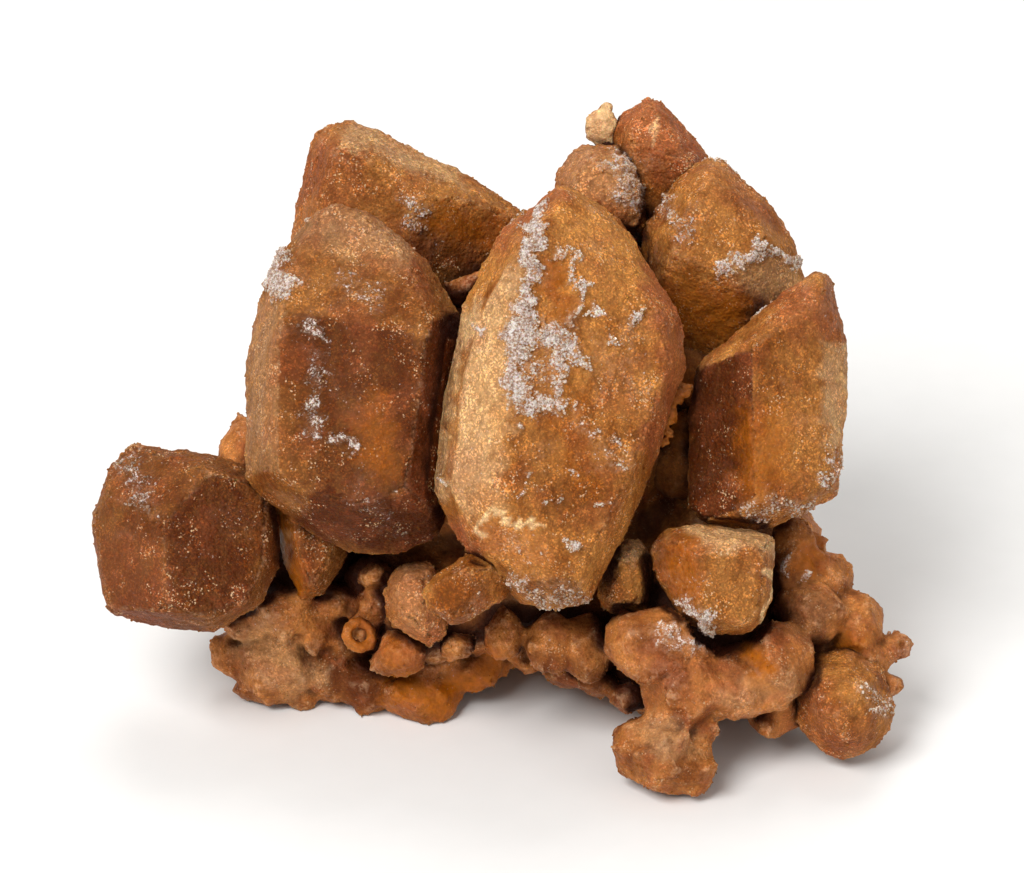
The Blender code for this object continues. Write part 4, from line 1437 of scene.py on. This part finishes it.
            (-11.5, 4.0), (-12.9, 1.0), (-12.7, -2.5),
        ),
        facets=((-9.8, 0.0, -4.0, 140, 142), (-9.8, 0.0, -4.0, 10, 158), (-9.8, -2.4, -3.6, -100, 140)),
        voxel=0.25,
    ),
}

# Small blunt crystals and nodules of the crust that show from the front: (across, up, out, half
# width, half height, half depth, roll in degrees).
FRONT_LUMPS = (
    # Pale knob at the top, and the lumps behind the gap under the rear crystals
    (4.5, 15.5, -3.6, 0.85, 0.85, 0.8, 0), (4.7, 16.3, -3.6, 0.4, 0.42, 0.4, 0),
    (-2.2, 7.4, 0.2, 1.3, 0.55, 1.2, 40), (3.4, 9.0, -1.5, 3.0, 2.6, 2.5, 0),
    # Spurs on the right edge of the front crystal
    (8.45, 2.2, 4.5, 0.55, 0.3, 0.4, 0), (7.8, 1.1, 4.6, 0.45, 0.6, 0.45, 0),
    # Left shoulder behind the left block
    (-12.8, -1.4, -1.8, 2.05, 2.1, 2.0, 0), (-11.6, -8.6, -2.2, 1.6, 1.3, 1.6, 20),
    (-13.3, -9.3, -2.9, 1.3, 0.9, 1.3, 0),
    # Lower left of the crust
    (-13.9, -10.8, -4.6, 1.25, 1.2, 1.3, 0), (-11.9, -11.3, -4.3, 2.2, 2.0, 2.0, -8),
    (-9.1, -11.6, -4.4, 1.4, 1.7, 1.6, 5), (-12.3, -12.5, -4.4, 1.0, 0.7, 1.0, 0),
    (-10.5, -13.0, -4.4, 0.75, 0.8, 0.8, 0), (-7.4, -12.4, -4.2, 1.9, 1.1, 1.5, -5),
    (-7.45, -13.8, -4.0, 0.42, 0.5, 0.45, 0), (-4.6, -12.95, -3.7, 2.2, 1.3, 1.6, -4),
    (-1.7, -11.5, -4.2, 1.9, 0.85, 1.5, 26), (-0.2, -10.8, -5.0, 1.3, 0.75, 1.3, 20),
    # Nodules between the left crystals and the front one
    (-7.55, -9.8, -1.6, 0.95, 0.95, 0.9, 0), (-5.5, -10.9, -0.6, 1.2, 1.15, 1.2, 0),
    (-6.4, -11.3, -1.0, 0.7, 0.75, 0.7, 0), (-6.8, -6.9, -0.8, 0.9, 0.65, 0.9, 10),
    (-9.9, -9.6, -3.6, 1.5, 1.1, 1.5, 0), (-8.8, -8.2, -2.6, 1.1, 0.9, 1.2, 0),
    (-6.8, -8.4, -1.8, 1.0, 1.0, 1.2, 0), (-2.7, -10.5, -0.4, 0.9, 0.7, 1.0, 0),
    (-0.4, -9.9, 0.4, 0.85, 1.5, 1.1, -6), (2.0, -10.3, 0.8, 1.1, 1.7, 1.3, 5),
    (3.8, -10.6, 1.2, 1.3, 1.8, 1.4, 0), (1.0, -10.6, -2.4, 1.3, 1.2, 1.3, 0),
    (2.7, -11.8, -1.2, 1.3, 0.6, 1.2, 0), (4.4, -12.3, -0.4, 1.0, 0.7, 1.1, 0),
    (5.8, -13.1, 0.4, 0.9, 0.75, 1.0, 0),
    # Knobbly mass under the lower block, the hanging knob and its neck
    (6.9, -10.4, 3.8, 2.5, 1.65, 1.8, -8), (8.9, -12.5, 2.9, 2.5, 2.0, 2.0, 0),
    (11.0, -12.3, 2.6, 2.0, 1.7, 1.9, 10), (13.2, -11.4, 2.4, 1.9, 2.1, 2.0, 0),
    (8.4, -14.0, 2.8, 1.7, 1.4, 1.6, 0), (7.6, -15.8, 2.9, 2.4, 1.85, 2.1, 0),
    (6.3, -15.2, 2.9, 1.3, 1.2, 1.4, 0), (8.7, -16.6, 2.9, 1.4, 1.35, 1.4, 0),
    (12.9, -13.5, 0.4, 1.4, 1.5, 1.5, 20),
    # Right shoulder of the crust
    (14.05, -5.6, -0.6, 1.1, 1.85, 1.4, 0), (15.6, -7.0, -1.0, 1.5, 1.2, 1.4, -25),
    (14.9, -8.8, 0.8, 1.75, 1.55, 1.6, 0), (17.1, -9.45, -0.6, 1.55, 1.7, 1.7, -10),
    (17.6, -10.9, -0.4, 1.5, 0.9, 1.4, 0),
    (19.2, -10.5, -0.6, 1.0, 0.6, 0.6, -4), (18.6, -12.4, -0.4, 1.0, 0.6, 0.9, 0),
    (14.0, -7.2, -0.4, 1.2, 1.6, 1.4, 0), (14.9, -10.5, -0.6, 1.5, 1.0, 1.3, 0),
)

# Lumps of crust deep between the crystals, given in the same way: they close the gaps to the far side.
GAP_LUMPS = (
    (6.6, 9.9, -4.6, 1.3, 1.4, 1.2, 0), (9.2, 3.2, -2.2, 1.5, 2.2, 1.3, 0), (5.0, 14.8, -4.0, 0.9, 0.7, 0.7, 0),
    (-10.6, -6.0, -3.4, 1.8, 2.6, 1.4, 0), (-12.4, -7.7, -3.4, 1.5, 1.6, 1.2, 0),
    (-8.2, -7.0, -4.4, 1.6, 1.7, 1.2, 0), (-11.2, -9.2, -4.2, 2.2, 1.5, 1.4, 0),
    (8.4, -1.0, -1.0, 1.4, 2.2, 1.3, 0), (-2.4, 0.6, -2.0, 1.3, 4.0, 1.3, 0),
    (-8.6, -9.8, -4.6, 2.6, 1.4, 1.4, 0), (-4.4, -10.9, -4.0, 2.4, 1.2, 1.4, 0),
    (-1.2, -9.4, -3.0, 2.0, 1.2, 1.4, 0), (4.2, -10.8, -2.4, 1.8, 1.2, 1.2, 0),
)

# The core that carries the crystals: the middle of each lump of it, as (across, back, height) from
# the ground under the middle of the view, and its half sizes.
CORES = (
    ((-3.4, 5.0, 4.4), (10.2, 6.2, 6.4)),
    ((8.6, 3.8, 5.0), (7.5, 6.4, 6.6)),
    ((9.1, -2.5, 4.2), (6.5, 4.5, 4.4)),
    ((3.1, 5.6, 5.0), (6.0, 5.6, 6.2)),
    ((-1.9, -1.2, 5.8), (7.5, 3.6, 3.0)),
    ((0.1, 3.5, 12.5), (10.0, 6.0, 8.0)),
)

# Small crystals of the crust on the far side, in rings that radiate from inside the core: each ring
# is (height, half width across, half width back, number of crystals).
FAR_RINGS = (
    (1.6, 12.8, 6.6, 17),
    (4.6, 13.0, 6.9, 15),
    (8.0, 12.2, 6.6, 12),
    (12.5, 10.2, 5.6, 9),
    (17.0, 7.0, 4.4, 5),
    (19.4, 4.2, 2.2, 5),
)


def knobs(middle: Vector, half_sizes: Sequence[float], axes: Matrix, seed: int, count: int) -> Iterable:
    """Small stubby crystals set over an ellipsoid, pointing more or less outward.

    Args:
        middle: The ellipsoid's middle.
        half_sizes: Its half sizes along its axes.
        axes: Its axes, as columns.
        seed: What the knobs are drawn from.
        count: How many there are.

    Yields:
        The planes and the middle of each.
    """
    rng = random.Random(1000 + seed)
    girth = min(sorted(half_sizes)[1], 1.9)
    for index in range(count):
        rise = rng.uniform(-0.95, 0.95)
        angle = rng.uniform(0.0, math.tau)
        level = math.sqrt(1.0 - rise * rise)
        way = (level * math.cos(angle), rise, level * math.sin(angle))
        spot = middle + axes @ Vector(0.8 * size * part for size, part in zip(half_sizes, way))
        size = girth * rng.uniform(0.16, 0.38)
        outward = (spot - middle).normalized() + 0.5 * Vector(rng.uniform(-1.0, 1.0) for _ in range(3))
        own = outward.to_track_quat("Y", "Z").to_matrix() @ Matrix.Rotation(rng.uniform(0.0, math.tau), 3, "Y")
        sizes = (size, size * rng.uniform(1.1, 1.7), size * rng.uniform(0.8, 1.1))
        yield prism_planes(spot, sizes, own, 31 * seed + index), spot


@dataclass(frozen=True)
class FrontCrust:
    """The knobbly crust of the showing side: the lumps of the table, each with smaller knobs on it."""

    voxel: float = 0.16
    knobs_each: int = 5
    knobs_from: float = 1.25
    skin: Skin = Skin(
        rounding=1,
        swell_size=1.6,
        swell_height=0.05,
        ledge_height=0.08,
        ripple_size=0.6,
        ripple_height=0.07,
        grain_height=0.035,
        edge_crumble=0.14,
    )
    # Deep marks here are mostly painted shade, in the druse's hollows and under the lower block.
    marks: tuple = (
        Mark(POWDER, ((7.2, -9.6), (9.0, -10.6)), 0.6, 0.6),
        Mark(POWDER, ((13.65, -6.3),), 0.35, 0.9),
        Mark(POWDER, ((14.5, -7.2),), 0.3, 0.9),
        Mark(PALE, ((4.5, 15.6), (4.7, 16.4)), 1.6, 1.0),
        Mark(AMBER, ((8.4, 2.4), (7.8, 0.6)), 0.9, 0.8),
        Mark(RUST, ((8.0, -12.6), (12.6, -11.6)), 2.0, 0.25),
        Mark(AMBER, ((-5.4, -12.6), (-3.4, -13.2), (-0.8, -11.8)), 1.1, 0.85),
        Mark(DEEP, ((-8.9, -11.6), (-7.6, -12.6), (-6.4, -12.2)), 1.0, 0.75),
        Mark(PALE, ((-12.6, -10.4), (-10.8, -11.8)), 1.2, 0.3),
        # Painted shadow under the lower block.
        Mark(DEEP, ((10.2, -9.4), (13.0, -9.2)), 0.8, 0.7),
        Mark(DEEP, ((2.2, -11.8), (5.6, -13.2)), 1.0, 0.5),
        Mark(DEEP, ((11.6, -11.2), (13.4, -11.8)), 1.1, 0.4),
        Mark(PALE, ((14.6, -8.4), (15.6, -9.4)), 1.2, 0.1),
        Mark(DEEP, ((7.4, -15.4),), 2.4, 0.24),
        Mark(PALE, ((6.8, -14.6), (8.6, -15.4)), 0.8, 0.24),
        Mark(PALE, ((11.0, -13.0), (13.8, -12.4)), 0.7, 0.2),
        Mark(AMBER, ((12.2, -11.0), (12.6, -12.4)), 0.6, 0.9),
        Mark(AMBER, ((16.8, -10.2),), 0.8, 0.9),
        Mark(AMBER, ((14.9, -5.6), (14.8, -6.8)), 0.6, 0.8),
        Mark(RUST, ((-6.6, -10.4), (-4.4, -11.2)), 1.0, 0.4),
        Mark(AMBER, ((-5.8, -10.8), (-5.0, -11.4)), 0.8, 0.6),
    )

    def bodies(self) -> Iterable:
        """The planes and the middle of each lump and knob.

        Yields:
            The planes and the middle of each.
        """
        for index, (across, up, out, *half_sizes, roll) in enumerate(FRONT_LUMPS + GAP_LUMPS):
            middle = in_place(across, up, out)
            axes = view_axes() @ Matrix.Rotation(math.radians(roll), 3, "Z")
            yield lump_planes(middle, half_sizes, axes, index), middle
            if sorted(half_sizes)[1] >= self.knobs_from:
                yield from knobs(middle, half_sizes, axes, index, self.knobs_each)

    def build(self, material: bpy.types.Material) -> bpy.types.Object:
        """Makes the crust, in millimetres."""
        body = voxel_skinned("body", new_mesh("body", self.bodies()), self.voxel)
        paint(body.data, self.marks)
        return applied(body, "front_crust", self.skin, material)


@dataclass(frozen=True)
class CrustRing:
    """A small ring of crust with an open middle, in the druse under the left crystals."""

    across: float = -7.6
    up: float = -9.9
    out: float = -0.55
    turn: tuple = (-14.0, 22.0)
    radius: float = 0.66
    girth: float = 0.3
    steps: int = 32
    voxel: float = 0.08
    skin: Skin = Skin(rounding=1, swell_size=0.9, swell_height=0.2, ledge_height=0.0, ripple_height=0.07)

    def build(self, material: bpy.types.Material) -> bpy.types.Object:
        """Makes the ring: a bead swept round a circle.

        Args:
            material: Its material.

        Returns:
            The ring, in millimetres.
        """
        path = bpy.data.curves.new("ring path", "CURVE")
        path.dimensions = "3D"
        path.bevel_depth = self.girth
        line = path.splines.new("POLY")
        line.points.add(self.steps - 1)
        line.use_cyclic_u = True
        for index, point in enumerate(line.points):
            angle = math.tau * index / self.steps
            point.co = (self.radius * math.cos(angle), self.radius * math.sin(angle), 0.0, 1.0)
        bead = linked("bead", path)
        mesh = bpy.data.meshes.new_from_object(bead)
        bpy.data.objects.remove(bead, do_unlink=True)
        nod, swing = (math.radians(angle) for angle in self.turn)
        tilt = Matrix.Rotation(nod, 4, "X") @ Matrix.Rotation(swing, 4, "Y")
        spot = in_place(self.across, self.up, self.out)
        mesh.transform(Matrix.Translation(spot) @ view_axes().to_4x4() @ tilt)
        body = voxel_skinned("body", mesh, self.voxel)
        paint(body.data, (Mark(AMBER, ((self.across, self.up),), 1.4, 0.55),))
        return applied(body, "crust_ring", self.skin, material)


@dataclass(frozen=True)
class Spurs:
    """Ragged bits of crust along the right edge of the front crystal, as rows like the lumps'."""

    rows: tuple = (
        (8.6, 2.35, 4.4, 0.5, 0.16, 0.26, 14), (8.25, 1.95, 4.5, 0.42, 0.24, 0.3, -28),
        (8.0, 1.35, 4.6, 0.24, 0.42, 0.26, 12), (7.85, 0.2, 4.6, 0.4, 0.2, 0.24, -18),
        (7.6, -0.3, 4.6, 0.26, 0.18, 0.22, 34), (7.65, 0.75, 4.6, 0.22, 0.34, 0.24, -8),
    )
    voxel: float = 0.08
    skin: Skin = Skin(rounding=1, swell_size=0.8, swell_height=0.16, ledge_height=0.0, ripple_height=0.1)

    def build(self, material: bpy.types.Material) -> bpy.types.Object:
        """Makes the spurs.

        Args:
            material: Their material.

        Returns:
            The spurs, in millimetres.
        """
        bodies = []
        for index, (across, up, out, *half_sizes, roll) in enumerate(self.rows):
            middle = in_place(across, up, out)
            axes = view_axes() @ Matrix.Rotation(math.radians(roll), 3, "Z")
            bodies.append((prism_planes(middle, half_sizes, axes, 500 + index), middle))
        body = voxel_skinned("body", new_mesh("body", bodies), self.voxel)
        paint(body.data, (Mark(AMBER, ((8.6, 2.4), (7.6, -0.4)), 1.4, 0.6),))
        return applied(body, "edge_spurs", self.skin, material)


@dataclass(frozen=True)
class FarCrust:
    """The crust of the sides and the far side: rings of small crystals that point outward."""

    middle: tuple = (0.5, 4.2)
    first_turn: float = -12.0
    last_turn: float = 192.0
    smallest: float = 0.9
    largest: float = 1.7
    length: float = 1.5
    seed: int = 7
    voxel: float = 0.24
    knobs_each: int = 3
    skin: Skin = Skin(rounding=2, swell_height=0.1, ripple_height=0.08, grain_height=0.06)

    def bodies(self) -> Iterable:
        """The planes and the middle of each crystal and knob.

        Yields:
            The planes and the middle of each.
        """
        rng = random.Random(self.seed)
        for ring, (height, half_across, half_back, count) in enumerate(FAR_RINGS):
            for index in range(count):
                share = (index + rng.uniform(0.2, 0.8)) / count
                turn = math.radians(self.first_turn + (self.last_turn - self.first_turn) * share)
                outward = Vector((math.cos(turn), math.sin(turn), rng.uniform(-0.3, 0.5)))
                middle = centred(*self.middle, height + rng.uniform(-1.2, 1.2))
                middle += Vector((half_across * math.cos(turn), half_back * math.sin(turn), 0.0))
                size = rng.uniform(self.smallest, self.largest)
                half_sizes = (size * rng.uniform(0.8, 1.1), size * self.length, size * rng.uniform(0.8, 1.1))
                axes = outward.to_track_quat("Y", "Z").to_matrix()
                seed = 100 * ring + index
                yield lump_planes(middle, half_sizes, axes, seed, 12), middle
                yield from knobs(middle, half_sizes, axes, seed, self.knobs_each)

    def build(self, material: bpy.types.Material) -> bpy.types.Object:
        """Makes the crust, in millimetres."""
        body = voxel_skinned("body", new_mesh("body", self.bodies()), self.voxel)
        paint(body.data, ())
        return applied(body, "far_crust", self.skin, material)


@dataclass(frozen=True)
class Core:
    """What the crystals grew on: blunt lumps of the same mineral, cut off flat underneath."""

    faces: int = 30
    voxel: float = 0.4
    skin: Skin = Skin(
        rounding=3, swell_size=2.4, swell_height=0.5, ledge_height=0.3, ripple_height=0.2, grain_height=0.1
    )

    def bodies(self) -> Iterable:
        """The planes and the middle of each lump.

        Yields:
            The planes and the middle of each.
        """
        for index, (place, half_sizes) in enumerate(CORES):
            middle = centred(*place)
            yield lump_planes(middle, half_sizes, Matrix.Identity(3), index, self.faces), middle

    def build(self, material: bpy.types.Material) -> bpy.types.Object:
        """Makes the core, in millimetres."""
        body = voxel_skinned("body", new_mesh("body", self.bodies()), self.voxel)
        paint(body.data, ())
        return applied(body, "core", self.skin, material)


@dataclass(frozen=True)
class Lamp:
    """A soft square light: the way it stands from the specimen, and its size, distance and power."""

    name: str
    turn: float
    rise: float
    distance: float
    size: float
    power: float

    def build(self, target: Vector) -> None:
        """Makes the lamp, aimed at a point.

        Args:
            target: The point, in metres.
        """
        turn, rise = math.radians(self.turn), math.radians(self.rise)
        way = Vector((math.cos(rise) * math.sin(turn), -math.cos(rise) * math.cos(turn), math.sin(rise)))
        light = bpy.data.lights.new(self.name, "AREA")
        light.size = self.size
        light.energy = self.power
        lamp = bpy.data.objects.new(self.name, light)
        lamp.location = target + way * self.distance
        lamp.rotation_euler = way.to_track_quat("Z", "Y").to_euler()
        bpy.context.scene.collection.objects.link(lamp)


@dataclass(frozen=True)
class Studio:
    """The camera, the pale floor and the soft lights."""

    floor_radius: float = 0.7
    floor_drop: float = 0.00003
    world_light: float = 0.42
    lamps: tuple = (
        Lamp("key", turn=-38.0, rise=50.0, distance=0.5, size=0.25, power=2.3),
        Lamp("fill", turn=50.0, rise=28.0, distance=0.6, size=0.4, power=0.4),
        Lamp("top", turn=175.0, rise=60.0, distance=0.5, size=0.25, power=0.8),
    )

    def camera(self) -> None:
        """Stands the camera where the photograph was taken from."""
        lens = bpy.data.cameras.new("camera")
        lens.lens = LENS
        lens.sensor_width = SENSOR_WIDTH
        lens.clip_start = 0.01
        camera = bpy.data.objects.new("camera", lens)
        middle = centred(0.0, 0.0, VIEW_MIDDLE_HEIGHT)
        spot = (middle + view_axes().col[2] * EYE_DISTANCE) * MM
        camera.matrix_world = Matrix.Translation(spot) @ view_axes().to_4x4()
        bpy.context.scene.collection.objects.link(camera)
        bpy.context.scene.camera = camera

    def floor(self) -> None:
        """Lays the floor just under the specimen."""
        body = bmesh.new()
        bmesh.ops.create_circle(body, cap_ends=True, radius=self.floor_radius, segments=96)
        bmesh.ops.translate(body, vec=(0.0, 0.0, -self.floor_drop), verts=body.verts)
        mesh = bpy.data.meshes.new("floor")
        body.to_mesh(mesh)
        body.free()
        mesh.materials.append(FloorFinish().material())
        linked("floor", mesh)

    def light(self) -> None:
        """Lights the scene softly from all round, and from three lamps."""
        scene = bpy.context.scene
        scene.view_settings.view_transform = "Standard"
        world = bpy.data.worlds.new("white room")
        world.use_nodes = True
        sky = world.node_tree.nodes["Background"]
        sky.inputs["Color"].default_value = (1.0, 0.99, 0.97, 1.0)
        sky.inputs["Strength"].default_value = self.world_light
        scene.world = world
        target = centred(0.0, 0.0, VIEW_MIDDLE_HEIGHT) * MM
        for lamp in self.lamps:
            lamp.build(target)

    def build(self) -> None:
        """Sets up the studio."""
        self.camera()
        self.floor()
        self.light()


@dataclass(frozen=True)
class Specimen:
    """The whole cluster, in its finishes."""

    crystal: MineralFinish = MineralFinish("hopeite crystal")
    crust: MineralFinish = MineralFinish(
        "hopeite crust",
        dark=screen(120, 60, 18),
        light=screen(198, 126, 62),
        patch_scale=0.42,
        rust_share=0.34,
        shade_from=0.19,
        sparkle=0.4,
        grit=0.4,
        glow=0.25,
        relief=0.0001,
    )
    powder: MineralFinish = MineralFinish(
        "white powder",
        dark=screen(212, 182, 156),
        light=screen(250, 236, 220),
        sparkle=0.7,
        glow=0.1,
    )
    powder_grains: Scatter = Scatter(density=50.0, smallest=0.03, largest=0.09, coat_share=1.0)
    edge_grains: Scatter = Scatter(density=4.0, smallest=0.04, largest=0.1, edge_share=0.9, seed=3)
    crust_grains: Scatter = Scatter(density=4.0, smallest=0.05, largest=0.11, seed=5)

    @staticmethod
    def _clear(guide: bpy.types.Object) -> None:
        """Removes the guide, which is no piece of the specimen."""
        bpy.data.objects.remove(guide, do_unlink=True)

    def grains_on(
        self, body: bpy.types.Object, name: str, scatter: Scatter, material: bpy.types.Material
    ) -> None:
        """Sets grains on a finished body, as a piece of their own.

        Args:
            body: The body, in millimetres.
            name: The grains' name.
            scatter: How they are set.
            material: Their material.
        """
        grains = applied(linked("bed", body.data.copy()), name, scatter, material)
        if len(grains.data.polygons):
            handed_over(grains)

    def build(self) -> None:
        """Makes every piece."""
        guide = solid_guide()
        crystal, crust, powder = self.crystal.material(), self.crust.material(), self.powder.material()
        for name, shape in CRYSTALS.items():
            piece = shape.build(name, crystal)
            if any(mark.tone is POWDER for mark in shape.marks):
                self.grains_on(piece, f"{name}_powder", self.powder_grains, powder)
            self.grains_on(piece, f"{name}_sugar", self.edge_grains, crystal)
            handed_over(piece)
        grown = (FrontCrust(), CrustRing(), Spurs(), FarCrust(), Core())
        for body in (shape.build(crust) for shape in grown):
            if body.name == "front_crust":
                self.grains_on(body, f"{body.name}_grains", self.crust_grains, crust)
            handed_over(body)
        self._clear(guide)


def main() -> None:
    """Builds the studio and the specimen."""
    logging.basicConfig(level=logging.INFO, format="%(name)s: %(message)s")
    Studio().build()
    Specimen().build()


if __name__ == "__main__":
    main()
